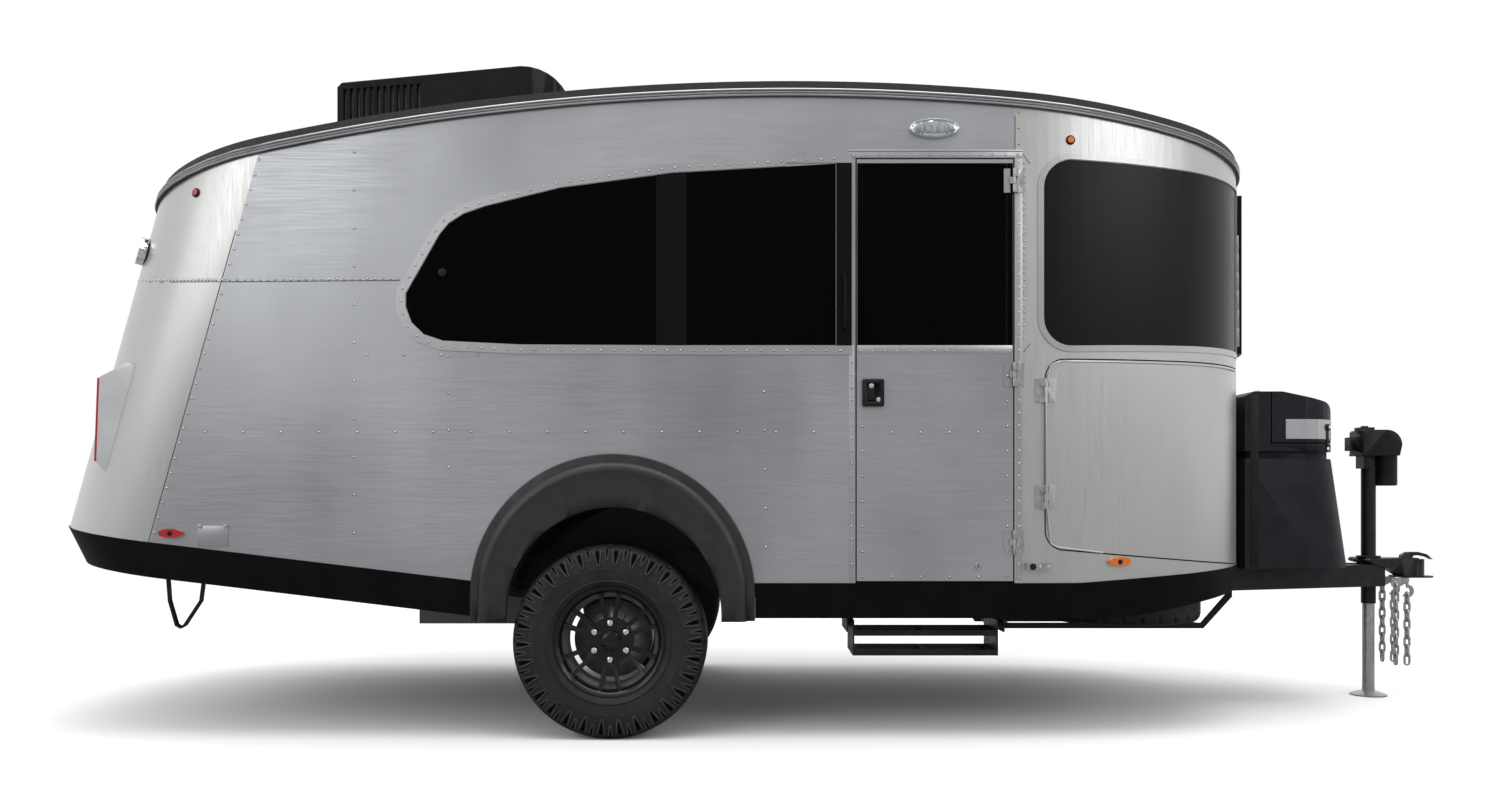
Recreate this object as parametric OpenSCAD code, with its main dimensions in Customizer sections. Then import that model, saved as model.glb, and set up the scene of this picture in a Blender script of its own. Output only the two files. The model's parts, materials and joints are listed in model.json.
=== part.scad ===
// Travel caravan with a riveted metal shell, one torsion axle and a tongue jack.
// +X points to the coupler, +Y to the far side, +Z up. The floor of the place it stands on is z = 0.

/* [Body] */
// Half of the width over the outer skins
body_half_w = 1030; // [1000:5:1050]
// Thickness of walls and doors
wall_t = 38; // [30:1:45]
// Height of the floor's underside
floor_z = 590; // [580:5:600]
// Thickness of the floor
floor_t = 30; // [20:1:40]
// Radius of the roof's curve from front to back
roof_r = 9600; // [9400:50:9800]
// Height of the roof's highest point
roof_top_z = 2481; // [2460:5:2500]
// Distance of the roof's highest point ahead of the middle
roof_peak_x = 16; // [0:4:40]
// Thickness of the roof
roof_t = 60; // [50:2:70]
// How far the rain rail stands out from the roof's edge
rail_out = 12; // [8:1:14]
// Height of the rain rail
rail_h = 30; // [20:2:36]

/* [Nose and tail] */
// Place of the seam where the nose begins to curve
nose_seam_x = 865; // [845:5:875]
// Radius of the nose's gentle first curve
nose_r1 = 1950; // [1900:10:2000]
// Turn of the nose's first curve in degrees
nose_turn1 = 20; // [19:0.5:21]
// Radius of the nose's corner
nose_r2 = 600; // [580:5:620]
// Turn of the nose's corner in degrees
nose_turn2 = 55; // [54:0.5:56]
// Rise of the body's lower edge at the nose in degrees
nose_rise = 3.6; // [3:0.1:4]
// Place of the rear seam at the body's lower edge
tail_seam_x = -2391; // [-2400:3:-2379]
// Radius of the tail's corner
tail_r = 520; // [500:5:540]
// Radius of the tail's middle
tail_mid_r = 2400; // [2300:20:2500]
// Lean of the tail in degrees
tail_lean = 15.5; // [15:0.1:16]
// Place where the underside begins to rise to the tail
tail_rise_x = -1109; // [-1120:3:-1100]
// Rise of the underside to the tail in degrees
tail_rise = 6.83; // [6.6:0.01:7]

/* [Skirt] */
// Height of the lower skirt along the sides
skirt_h = 132; // [120:2:140]
// Thickness of the skirt
skirt_t = 16; // [12:1:20]
// How far the skirt stands out from the skin
skirt_out = 5; // [2:1:8]
// Tuck of the tail's skirt in degrees
tuck = 27; // [24:0.5:30]

/* [Side windows] */
// Height of the window sill
sill_z = 1486; // [1470:2:1500]
// Rearmost point of the side window
window_rear_x = -1429; // [-1440:3:-1410]
// Height of the glass at the front end of the side window
window_top_z = 2170; // [2160:2:2176]
// Front end of the side window
window_front_x = 189; // [180:1:192]
// Width of the black pillar between the two side panes
pillar_w = 115; // [100:5:130]
// Centre of the black pillar between the two side panes
pillar_x = -430; // [-450:5:-410]
// Thickness of the glass
glass_t = 8; // [6:1:10]
// Width of the riveted window frames
frame_w = 36; // [30:1:40]
// Thickness of the riveted window frames
frame_t = 4; // [3:0.5:5]
// Width of the black post between the side window and the entry door
post_w = 58; // [52:1:60]
// Height of the grab handle's lower end
grab_z = 1543; // [1530:5:1560]
// Length of the grab handle
grab_len = 207; // [190:5:220]
// Radius of the grab handle
grab_r = 6; // [5:0.5:8]
// How far the grab handle's middle stands out from the skin
grab_out = 36; // [30:2:40]

/* [Nose window] */
// Turn along the nose at which the wrapped pane starts
nose_glass_h0 = 3.2; // [2.5:0.1:4]
// Turn along the nose at which the wrapped pane ends
nose_glass_h1 = 64; // [63:0.5:65]
// Turn along the nose at which the middle pane starts
mid_glass_h0 = 68; // [67:0.5:69]
// Height of the nose glass
nose_glass_top_z = 2168; // [2150:2:2172]
// Radius of the wrapped pane's rear corners
nose_glass_r = 105; // [90:5:120]
// How far the middle pane stands out from the skin
mid_glass_out = 22; // [16:2:26]

/* [Entry door] */
// Rear edge of the door leaf
door_rear_x = 268; // [266:1:272]
// Front edge of the door leaf, at the hinge
door_front_x = 857; // [850:1:858]
// Height of the door leaf's top edge
door_top_z = 2186; // [2180:2:2190]
// Height of the door leaf's lower edge
door_low_z = 598; // [596:1:604]
// Margin of door around its glass
door_margin = 24; // [18:1:30]
// Place of the porch light
porch_x = 559; // [550:5:570]
// Height of the porch light
porch_z = 2300; // [2290:5:2310]
// How far the porch light's bezel stands out
porch_out = 16; // [12:1:20]

/* [Nose storage doors] */
// Turn along the nose at which the storage door starts
store_h0 = 3.4; // [3:0.1:4]
// Turn along the nose at which the storage door ends
store_h1 = 62; // [61:0.5:63]
// Height of the storage door's top edge
store_top_z = 1432; // [1420:2:1436]
// Height of the storage door's lower edge
store_low_z = 716; // [700:2:730]
// Radius of the storage door's rear corners
store_r = 72; // [60:4:76]

/* [Tail hatch] */
// Half of the tail hatch's width
hatch_half_w = 480; // [460:5:500]
// Lower edge of the hatch, measured up the leaning tail
hatch_low = 0; // [-10:2:10]
// Upper edge of the hatch, measured up the leaning tail
hatch_top = 1094; // [1080:2:1100]
// Lower edge of the hatch's glass, measured up the leaning tail
hatch_glass_low = 560; // [500:5:600]

/* [Wheels] */
// Place of the axle's wheels
wheel_x = -665; // [-670:1:-660]
// Radius of the tyre
tyre_r = 367; // [360:1:370]
// Width of the tyre
tyre_w = 235; // [225:1:240]
// Distance of the tyre's outer face from the middle
tyre_face_y = 1050; // [1045:1:1055]
// Radius of the rim's flange
rim_r = 209; // [206:1:212]
// Radius of the spindle
spindle_r = 20; // [18:1:22]
// Number of wheel nuts
nuts = 6; // [5:1:8]
// Radius of the wheel nuts' circle
nut_circle_r = 69.85; // [65:0.05:75]
// Number of spokes
spokes = 12; // [10:1:14]
// Number of lugs on each shoulder of a tyre
lugs = 28; // [24:2:32]
// Depth of the gaps between the lugs
lug_deep = 13; // [10:1:14]

/* [Wheel arches] */
// Radius of the flare's outer edge
flare_r = 536; // [525:1:540]
// Radius of the arch's opening
arch_r = 404; // [400:1:408]
// How far the flare stands out from the skin
flare_out = 50; // [44:1:56]
// Height of the flare's lower end
flare_low_z = 448; // [440:2:456]
// Width of the flare's flat outer lip
flare_lip_w = 30; // [26:2:36]
// Thickness of the flare's outer lip
flare_lip_t = 14; // [12:1:16]
// Radius of the flare's rounded roll
flare_roll_r = 32; // [28:1:34]

/* [Chassis] */
// Distance of the long rails from the middle
rail_y = 440; // [420:5:460]
// Width of the long rails
chassis_w = 50; // [40:2:60]
// Height of the long rails
chassis_h = 100; // [90:2:110]
// Place of the jack
jack_x = 2731; // [2725:2:2740]
// Place of the coupler's ball socket
socket_x = 2945; // [2940:1:2950]
// Radius of the tow ball that the coupler takes
ball_r = 25.4; // [25:0.1:26]
// Radius of the jack's foot
foot_r = 78; // [70:1:90]
// Radius of the jack's outer tube
jack_r = 31.5; // [30:0.5:33]
// Radius of the jack's leg
jack_leg_r = 26; // [24:0.5:27]
// Height of the underside of the jack's head
jack_head_z = 1107; // [1100:1:1112]
// Radius of the jack's motor
jack_motor_r = 48; // [44:1:50]
// Length of the jack's motor under the head
jack_motor_len = 138; // [130:2:145]
// Distance of the motor's middle ahead of the jack's
jack_motor_x = 80.5; // [80.5:0.5:84]
// Length of the tongue's beams
tongue_len = 1290; // [1280:5:1295]
// Thickness of the coupler's sides outside the beams
coupler_t = 8; // [6:1:10]
// Height of the coupler's top
coupler_top_z = 636; // [630:1:640]
// Height of the coupler's lower edge
coupler_low_z = 546; // [544:1:548]

/* [Gas box] */
// Half of the gas box's width
box_half_w = 420; // [400:5:440]
// Height of the gas box's lower edge
box_low_z = 608.3; // [608.3:0.1:612]
// Height of the joint between the gas box and its lid
box_split_z = 1145; // [1135:5:1150]
// Height of the gas box's top
box_top_z = 1368; // [1360:2:1380]
// Wall of the gas box
box_t = 6; // [4:1:8]
// Front face of the gas box at its foot
box_foot_x = 2485; // [2475:2:2495]
// Front face of the gas box under its groove, and of its lid
box_front_x = 2415; // [2405:2:2425]
// Height at which the groove round the gas box begins
groove_z = 1080; // [1076:1:1084]
// Height of the groove
groove_h = 33; // [28:1:36]
// Depth of the groove
groove_deep = 16; // [12:1:18]
// Radius of the gas box's front corners
box_r = 170; // [150:5:180]
// Radius of the lid's upper front edge
lid_r = 76; // [60:2:84]

/* [Air conditioner] */
// Rear face of the air conditioner
ac_rear_x = -1928; // [-1940:4:-1916]
// Front end of the air conditioner at the roof
ac_front_x = -890; // [-900:5:-880]
// Place where the air conditioner's top turns down
ac_turn_x = -1130; // [-1140:5:-1120]
// Half of the air conditioner's width
ac_half_w = 340; // [330:5:350]
// Height of the air conditioner's rear edge
ac_rear_z = 2717; // [2700:5:2725]
// Height of the air conditioner's top
ac_top_z = 2790; // [2780:2:2796]
// Radius of the air conditioner's front
ac_nose_r = 230; // [210:10:240]
// Wall of the air conditioner
ac_t = 20; // [14:2:24]
// Number of grille slots on each side
ac_slots = 12; // [10:1:13]

/* [Safety chains] */
// Distance from one chain link to the next
link_pitch = 40; // [36:1:42]
// Thickness of a chain link's bar
link_d = 8; // [7:0.5:9]
// Width of a chain link
link_w = 30; // [28:1:32]
// Number of links in a hanging strand
chain_count = 9; // [7:1:10]
// Place of the chains' eyes
chain_x = 2826; // [2820:2:2830]
// Height of the chains' eyes
chain_top_z = 522; // [518:1:526]

/* [Step] */
// Rear end of the step
step_x0 = 234; // [230:1:240]
// Front end of the step
step_x1 = 836; // [830:1:840]

/* [Clearances] */
// Gap round doors and lids
door_gap = 5; // [5:0.5:7]
// Gap between pieces that lie against each other
seat_gap = 0.3; // [0.2:0.05:0.4]
// Running gap of wheel hubs on their spindles
run_gap = 0.05; // [0.03:0.01:0.08]

/* [Hidden] */
$fn = 96;
// Step of the curved walls' facets in degrees
curve_step = 1.25;
eps = 1;
w = body_half_w;
rim_w = 178;
// Each nose and tail curve is [centre x, centre y, radius, first turn, last turn]
nose_c1 = [nose_seam_x, nose_r1 - w];
nose_c2 = nose_c1 + (nose_r1 - nose_r2) * [sin(nose_turn1), -cos(nose_turn1)];
nose_turn12 = nose_turn1 + nose_turn2;
nose_r3 = nose_r2 - nose_c2[1] / cos(nose_turn12);
nose_c3 = [nose_c2[0] + (nose_r2 - nose_r3) * sin(nose_turn12), 0];
nose_arcs = [
    [nose_c1[0], nose_c1[1], nose_r1, 0, nose_turn1],
    [nose_c2[0], nose_c2[1], nose_r2, nose_turn1, nose_turn12],
    [nose_c3[0], nose_c3[1], nose_r3, nose_turn12, 90]
];
nose_x = nose_c3[0] + nose_r3;
tail_turn = acos((w - tail_r) / (tail_mid_r - tail_r));
tail_c2 = [-(tail_mid_r - tail_r) * sin(tail_turn), 0];
tail_arcs = [
    [0, tail_r - w, tail_r, 0, tail_turn],
    [tail_c2[0], tail_c2[1], tail_mid_r, tail_turn, 90]
];
tail_deep = tail_c2[0] + tail_mid_r;
tail_seam_z = floor_z + (tail_rise_x - tail_seam_x) * tan(tail_rise);
wheel_z = tyre_r;
// Underside of the long rails
rail_low_z = floor_z - seat_gap - chassis_h;
wheel_y = tyre_face_y - tyre_w / 2;
wall_top_r = roof_r - roof_t;
nose_rise_x = 1116;
// Height of the spare wheel's middle
spare_z = floor_z - 5 - tyre_w / 2;
pin_r = 3;
hinge_len = 90;
knuckle_r = 6;
hinge_off = 10;
// Inner side of the wheel wells
well_y = 270 - w;
// Height of the tongue's underside and its turn towards the middle
tongue_z = 508;
tongue_turn = 18;
// Limits of profiles that reach past the body's ends
far_rear = -3400;
far_front = 2300;
// Rear edge of the tail lamp housings at their lower end
lamp_x = -2640;
nose_tuck_x = 1316;
nose_tuck = 9;
// Rear face of the gas box and the rear edge of its lid
box_rear_x = nose_x + 12;
box_lid_x = 2100;
// Rear edges of the nose window and of the storage doors
nose_glass_x = nose_seam_x + nose_r1 * sin(nose_glass_h0);
store_x = nose_seam_x + nose_r1 * sin(store_h0);
// How much shorter the tucked skirt's own outline is than the leaning tail's
tuck_scale = cos(tuck) * (1 - tan(tail_rise) * tan(tuck)) / (cos(tail_lean) * (1 + tan(tail_rise) * tan(tail_lean)));
function tucked(points) = [for (p = points) [p[0] * tuck_scale, p[1]]];

// Turns between two limits, at the shared steps and at the limits themselves
function turns(h0, h1) = concat(
    [h0],
    [for (h = [ceil((h0 + 0.1) / curve_step):1:floor((h1 - 0.1) / curve_step)]) h * curve_step],
    [h1]
);
function arc_point(arcs, h, out) =
    let (a = [for (c = arcs) if (h >= c[3] - 0.001 && h <= c[4] + 0.001) c][0])
    [a[0] + (a[2] + out) * sin(h), a[1] - (a[2] + out) * cos(h)];
function arc_points(arcs, h0, h1, out) = [for (h = turns(h0, h1)) arc_point(arcs, h, out)];
// Points along an arc from angle a0 to a1 in n steps
function arc_xy(c, r, a0, a1, n) = [
    for (i = [0:n])
        let (a = a0 + (a1 - a0) * i / n)
        [c[0] + r * cos(a), c[1] + r * sin(a)]
];
function oval(a, b) = [for (i = [0:31]) [a * cos(i * 11.25), b * sin(i * 11.25)]];
function reversed(points) = [for (i = [len(points) - 1:-1:0]) points[i]];
function mirrored(points) = [for (i = [len(points) - 1:-1:0]) [points[i][0], -points[i][1]]];
// Points of the roof's curve in the X-Z plane
function roof_arc(r) = [
    for (a = [-21:0.5:14])
        [roof_peak_x + r * sin(a), roof_top_z - roof_r + r * cos(a)]
];

// Stretch of a curved wall between two turns, its outer face moved out by `out`
module arc_band(arcs, h_from, h_to, out, t, z0, z1) {
    edge_out = arc_points(arcs, h_from, h_to, out);
    edge_in = arc_points(arcs, h_from, h_to, out - t);
    outline = h_to == 90
        ? concat(edge_out, mirrored(edge_out), reversed(mirrored(edge_in)), reversed(edge_in))
        : concat(edge_out, reversed(edge_in));
    translate([0, 0, z0])
        linear_extrude(z1 - z0)
            polygon(outline);
}

module both_sides() {
    children();
    mirror([0, 1, 0]) children();
}

module in_tail_frame() {
    translate([tail_seam_x, 0, tail_seam_z])
        rotate([0, tail_lean, 0])
            mirror([1, 0, 0])
                children();
}

// Plate drawn in the X-Z plane, from y0 to y1
module side_plate(y0, y1) {
    translate([0, y1, 0])
        rotate([90, 0, 0])
            linear_extrude(y1 - y0)
                children();
}

// Everything under the roof's curve of radius r, as a side profile above the body's lower edge
module body_profile(r) {
    polygon(concat(
        [
            [far_rear, floor_z + (tail_rise_x - far_rear) * tan(tail_rise)],
            [tail_rise_x, floor_z],
            [nose_rise_x, floor_z],
            [far_front, floor_z + (far_front - nose_rise_x) * tan(nose_rise)]
        ],
        reversed(roof_arc(r))
    ));
}

// Children drawn with +X outwards from the skin at a turn along the nose or tail
module at_turn(arcs, h, out) {
    p = arc_point(arcs, h, out);
    translate([p[0], p[1], 0])
        rotate([0, 0, h - 90])
            children();
}

// Fixed half of a hinge: the axis is Z, the leaf lies on -X and the skin is `off` inwards along +Y
module hinge_fixed(off) {
    third = hinge_len / 3;
    cylinder(r = pin_r, h = hinge_len);
    for (z = [0, 2 * third])
        translate([0, 0, z]) {
            cylinder(r = knuckle_r, h = third);
            translate([-knuckle_r - 10, 0, 0]) cube([knuckle_r + 10, off - seat_gap, third]);
        }
    translate([-38, off - seat_gap - 3, 0]) cube([24, 3, hinge_len]);
}

// Moving half of a hinge, its leaf on +X and sunk 1 mm into the skin
module hinge_moving(off) {
    third = hinge_len / 3;
    difference() {
        union() {
            translate([0, 0, third + door_gap / 2]) {
                cylinder(r = knuckle_r, h = third - door_gap);
                cube([knuckle_r + 12, off, third - door_gap]);
            }
            translate([knuckle_r + 8, off - 3, 0]) cube([24, 4, hinge_len]);
        }
        translate([0, 0, -1]) cylinder(r = pin_r + run_gap, h = hinge_len + 2);
    }
}

module roof_layer(r_out, r_in) {
    side_plate(-1200, 1200)
        polygon(concat(roof_arc(r_out), reversed(roof_arc(r_in))));
}

// Whole body outline as a solid, grown by `out`, between two heights
module envelope(out, z0, z1) {
    nose_edge = arc_points(nose_arcs, 0, 90, out);
    tail_edge = arc_points(tail_arcs, 0, 90, out);
    intersection() {
        translate([0, 0, z0])
            linear_extrude(z1 - z0)
                polygon(concat([[far_rear, -w - out]], nose_edge, mirrored(nose_edge), [[far_rear, w + out]]));
        in_tail_frame()
            translate([0, 0, -700])
                linear_extrude(3600)
                    polygon(concat([[-5600, -w - out]], tail_edge, mirrored(tail_edge), [[-5600, w + out]]));
    }
}

module arch_cut(y0, y1, extra) {
    side_plate(y0, y1) {
        translate([wheel_x + 20, 472]) circle(r = arch_r + extra, $fn = 180);
        translate([wheel_x + 20 - arch_r - extra, 300]) square([2 * (arch_r + extra), 172]);
    }
}

// Outline of the side window opening, grown by `out`
function window_outline(out) = [
    [window_front_x + out, sill_z - out],
    [window_front_x + out, window_top_z + out],
    [pillar_x, window_top_z - 36 + out],
    [-850, 2078 + out],
    [-1130, 2009 + out],
    [-1212 - out * 0.4, 1980 + out * 0.9],
    [-1268 - out * 0.7, 1944 + out * 0.7],
    [-1302 - out * 0.9, 1903 + out * 0.4],
    [window_rear_x - out, 1680 + out * 0.3],
    [window_rear_x - out, 1630 - out * 0.2],
    [-1408 - out * 0.9, 1572 - out * 0.5],
    [-1362 - out * 0.7, 1527 - out * 0.8],
    [-1290 - out * 0.3, 1503 - out],
    [-1000, sill_z + 3 - out],
    [pillar_x, sill_z - out]
];

module side_wall() {
    difference() {
        side_plate(-w, -w + wall_t)
            intersection() {
                polygon([
                    [tail_seam_x, tail_seam_z - 400],
                    [nose_seam_x, tail_seam_z - 400],
                    [nose_seam_x, 2600],
                    [tail_seam_x + (2600 - tail_seam_z) * tan(tail_lean), 2600],
                    [tail_seam_x, tail_seam_z]
                ]);
                body_profile(wall_top_r - seat_gap);
            }
        side_plate(-w - eps, -w + wall_t + eps) polygon(window_outline(0));
        arch_cut(-w - eps, -w + wall_t + eps, 8);
    }
}

module side_wall_near() color([0.72, 0.73, 0.75]) {
    difference() {
        side_wall();
        translate([door_rear_x - door_gap, -w - eps, floor_z - eps])
            cube([door_front_x - door_rear_x + 2 * door_gap, wall_t + 2 * eps, door_top_z - floor_z + door_gap + eps]);
    }
}

module side_wall_far() color([0.72, 0.73, 0.75]) {
    mirror([0, 1, 0])
        side_wall();
}

// Edges of the nose glass as a side profile with rounded rear corners
module nose_glass_profile(grow) {
    x = nose_glass_x + nose_glass_r;
    polygon(concat(
        arc_xy([x, sill_z + nose_glass_r], nose_glass_r + grow, 180, 270, 8),
        [
            [far_front, sill_z + 34 - grow],
            [far_front, nose_glass_top_z - 14 + grow]
        ],
        arc_xy([x, nose_glass_top_z + 20 - nose_glass_r], nose_glass_r + grow, 90, 180, 8)
    ));
}

// Edges of the storage doors as a side profile: rounded rear corners and a slanted lower edge
module store_profile(grow) {
    x = store_x + store_r;
    polygon(concat(
        arc_xy([x, store_low_z + store_r], store_r + grow, 180, 270, 8),
        [
            [far_front, store_low_z - 110 - grow],
            [far_front, store_top_z + 8 + grow]
        ],
        arc_xy([x, store_top_z - store_r], store_r + grow, 90, 180, 8)
    ));
}

module nose_band(out, t, h0, h1) {
    arc_band(nose_arcs, h0, h1, out, t, floor_z - 200, 2600);
}

module nose_wall() color([0.72, 0.73, 0.75]) {
    difference() {
        intersection() {
            nose_band(0, wall_t, 0, 90);
            side_plate(-1200, 1200) body_profile(wall_top_r - seat_gap);
        }
        intersection() {
            nose_band(10, wall_t + 20, mid_glass_h0, 90);
            side_plate(-1200, 1200) nose_glass_profile(0);
        }
        both_sides() {
            intersection() {
                nose_band(10, wall_t + 20, nose_glass_h0 - 1, nose_glass_h1);
                side_plate(-1200, 1200) nose_glass_profile(0);
            }
            intersection() {
                nose_band(10, wall_t + 20, store_h0 - 1, store_h1 + 0.5);
                side_plate(-1200, 1200) store_profile(door_gap);
            }
        }
    }
}

store_hinge_h = store_h0 - 0.08;

module at_store_hinge() {
    for (z = [870, 1270])
        at_turn(nose_arcs, store_hinge_h, hinge_off)
            translate([0, 0, z])
                rotate([0, 0, 90])
                    children();
}

module storage_hinges() both_sides() at_store_hinge() hinge_fixed(hinge_off);

module storage_door() {
    at_store_hinge() hinge_moving(hinge_off);
    intersection() {
        nose_band(0, wall_t, store_h0 - 1, store_h1);
        side_plate(-1200, 0) store_profile(0);
    }
}

module storage_door_near() color([0.7, 0.71, 0.72]) storage_door();
module storage_door_far() color([0.7, 0.71, 0.72]) mirror([0, 1, 0]) storage_door();

module tail_cut(out, t, y_half, z0, z1) {
    intersection() {
        arc_band(tail_arcs, 0, 90, out, t, z0, z1);
        translate([0, -y_half, z0]) cube([1200, 2 * y_half, z1 - z0]);
    }
}

module tail_wall() color([0.74, 0.75, 0.76]) {
    difference() {
        intersection() {
            in_tail_frame() arc_band(tail_arcs, 0, 90, 0, wall_t, -300, 1900);
            side_plate(-1200, 1200) body_profile(wall_top_r - seat_gap);
        }
        in_tail_frame()
            tail_cut(10, wall_t + 20, hatch_half_w + door_gap, hatch_low - door_gap, hatch_top + door_gap);
    }
}

// Hatch hinges: the axis runs along Y, hinge_off behind the tail's rearmost line
module at_hatch_hinge() {
    for (y = [-200, 200])
        translate([tail_deep + hinge_off, y - hinge_len / 2, hatch_top + door_gap / 2])
            multmatrix([[0, -1, 0, 0], [0, 0, 1, 0], [-1, 0, 0, 0], [0, 0, 0, 1]])
                children();
}

hatch_hinge_off = hinge_off + 8;

module hatch_hinges()
    in_tail_frame()
        difference() {
            at_hatch_hinge() hinge_fixed(hatch_hinge_off);
            arc_band(tail_arcs, 60, 90, seat_gap, 100, hatch_top - 100, hatch_top + 100);
        }

module tail_hatch() color([0.12, 0.12, 0.13]) in_tail_frame() {
    at_hatch_hinge() hinge_moving(hatch_hinge_off);
    difference() {
        tail_cut(0, wall_t, hatch_half_w, hatch_low, hatch_top);
        tail_cut(10, wall_t + 20, hatch_half_w - 70, hatch_glass_low, hatch_top - 70);
    }
}

module tail_hatch_glass() color([0.05, 0.05, 0.06]) in_tail_frame()
    tail_cut(-10, glass_t, hatch_half_w - 70 - seat_gap, hatch_glass_low + seat_gap, hatch_top - 70 - seat_gap);

module tail_hatch_handle() color([0.06, 0.06, 0.06]) in_tail_frame()
    difference() {
        for (y = [-330, 330])
            translate([tail_deep - 40, y - 60, 420]) cube([60, 120, 100]);
        arc_band(tail_arcs, 60, 90, seat_gap, 100, 300, 600);
    }

module roof() color([0.1, 0.1, 0.11]) {
    intersection() {
        envelope(0, 1900, 2600);
        roof_layer(roof_r, wall_top_r);
    }
}

module rain_rail() color([0.7, 0.7, 0.72]) {
    intersection() {
        difference() {
            envelope(rail_out, 1900, 2600);
            envelope(seat_gap, 1800, 2700);
        }
        roof_layer(wall_top_r + rail_h, wall_top_r);
    }
}

module floor() color([0.3, 0.3, 0.3]) {
    difference() {
        intersection() {
            envelope(-wall_t - seat_gap, 400, 1200);
            side_plate(-1200, 1200)
                polygon([
                    [far_rear, floor_z + (tail_rise_x - far_rear) * tan(tail_rise)],
                    [tail_rise_x, floor_z],
                    [nose_rise_x, floor_z],
                    [far_front, floor_z + (far_front - nose_rise_x) * tan(nose_rise)],
                    [far_front, floor_z + floor_t + (far_front - nose_rise_x) * tan(nose_rise)],
                    [nose_rise_x, floor_z + floor_t],
                    [tail_rise_x, floor_z + floor_t],
                    [far_rear, floor_z + floor_t + (tail_rise_x - far_rear) * tan(tail_rise)]
                ]);
        }
        both_sides() arch_cut(-1100, well_y + seat_gap, 7 + seat_gap);
    }
}

// Wheel well liner: an arch over the tyre with a closed inner side
module wheel_well() {
    difference() {
        arch_cut(-w + wall_t + seat_gap, well_y, 7);
        arch_cut(-w - eps, well_y - 6, 1);
        translate([-2000, -1200, -100]) cube([3000, 800, 648]);
    }
}

module wheel_wells() color([0.08, 0.08, 0.08]) both_sides() wheel_well();

module flare_outline(grow) {
    translate([wheel_x + 14, 541]) circle(r = flare_r + grow, $fn = 180);
    translate([wheel_x + 14 - flare_r - grow, 100]) square([2 * (flare_r + grow), 441]);
}

module flare() {
    difference() {
        union() {
            translate([wheel_x + 14, -w - seat_gap, 541])
                rotate([90, 0, 0])
                    rotate_extrude(angle = 180, $fn = 180)
                        polygon(concat([[0, 0]], flare_section(), [[0, flare_out - flare_roll_r / 2]]));
            translate([wheel_x + 14, -w - seat_gap, flare_low_z])
                linear_extrude(541 - flare_low_z)
                    polygon(concat(
                        [for (p = flare_section()) [-p[0], -p[1]]],
                        [for (p = reversed(flare_section())) [p[0], -p[1]]]
                    ));
        }
        arch_cut(-w - 100, -w + 10, 0);
    }
}

// Half section of the flare: a flat outer lip, a step and a rounded roll
function flare_section() = concat(
    [[flare_r, 0], [flare_r, flare_lip_t - 4], [flare_r - 4, flare_lip_t], [flare_r - flare_lip_w, flare_lip_t]],
    arc_xy([flare_r - flare_lip_w - flare_roll_r, flare_out - flare_roll_r], flare_roll_r, 0, 115, 8)
);

module wheel_flares() color([0.07, 0.07, 0.07]) both_sides() flare();

// Side profile of the skirt, between the body's lower edge and its own
module skirt_profile() {
    d = (tail_rise_x - far_rear) * tan(tail_rise);
    polygon([
        [far_rear, floor_z + d - seat_gap],
        [tail_rise_x, floor_z - seat_gap],
        [nose_rise_x, floor_z - seat_gap],
        [far_front, floor_z + (far_front - nose_rise_x) * tan(nose_rise) - seat_gap],
        [far_front, floor_z - skirt_h + (far_front - nose_tuck_x) * tan(nose_tuck)],
        [nose_tuck_x, floor_z - skirt_h],
        [tail_rise_x, floor_z - skirt_h],
        [far_rear, floor_z + d - skirt_h]
    ]);
}

module skirts() color([0.05, 0.05, 0.05]) {
    difference() {
        intersection() {
            union() {
                nose_band(skirt_out, skirt_t, 0, 90);
                both_sides()
                    side_plate(-w - skirt_out, -w - skirt_out + skirt_t)
                        polygon([
                            [tail_seam_x + (tail_seam_z - 300) * tan(tuck) + 2 * seat_gap, 300],
                            [nose_seam_x, 300],
                            [nose_seam_x, 800],
                            [tail_seam_x + (tail_seam_z - 800) * tan(tuck) + 2 * seat_gap, 800]
                        ]);
            }
            side_plate(-1200, 1200) skirt_profile();
        }
        both_sides() side_plate(-w - 60, -w + 60) flare_outline(seat_gap);
        both_sides()
            translate([nose_x - 400, 240, 480]) cube([500, 180, 130]);
    }
    edge_out = tucked(arc_points(tail_arcs, 0, 90, skirt_out));
    edge_in = tucked(arc_points(tail_arcs, 0, 90, skirt_out - skirt_t));
    intersection() {
        translate([tail_seam_x, 0, tail_seam_z])
            rotate([0, -tuck, 0])
                mirror([1, 0, 0])
                    translate([0, 0, -500])
                        linear_extrude(1200)
                            polygon(concat(edge_out, mirrored(edge_out), reversed(mirrored(edge_in)), reversed(edge_in)));
        side_plate(-1200, 1200) skirt_profile();
    }
}

module window_frames() color([0.78, 0.79, 0.8]) {
    both_sides()
        side_plate(-w - frame_t - seat_gap, -w - seat_gap)
            difference() {
                union() {
                    polygon(window_outline(frame_w));
                    translate([window_front_x, sill_z - frame_w])
                        square([post_w + 2, window_top_z - sill_z + 2 * frame_w]);
                }
                polygon(window_outline(2));
                translate([0, sill_z - 2]) square([400, window_top_z - sill_z + 4]);
            }
    both_sides()
        intersection() {
            difference() {
                nose_band(frame_t + seat_gap, frame_t, nose_glass_h0 - 1.4, nose_glass_h1 + 1.6);
                intersection() {
                    nose_band(30, 60, nose_glass_h0 - 1, nose_glass_h1 - 0.2);
                    side_plate(-1200, 1200) nose_glass_profile(2);
                }
            }
            side_plate(-1200, 0) nose_glass_profile(24);
        }
}

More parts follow.
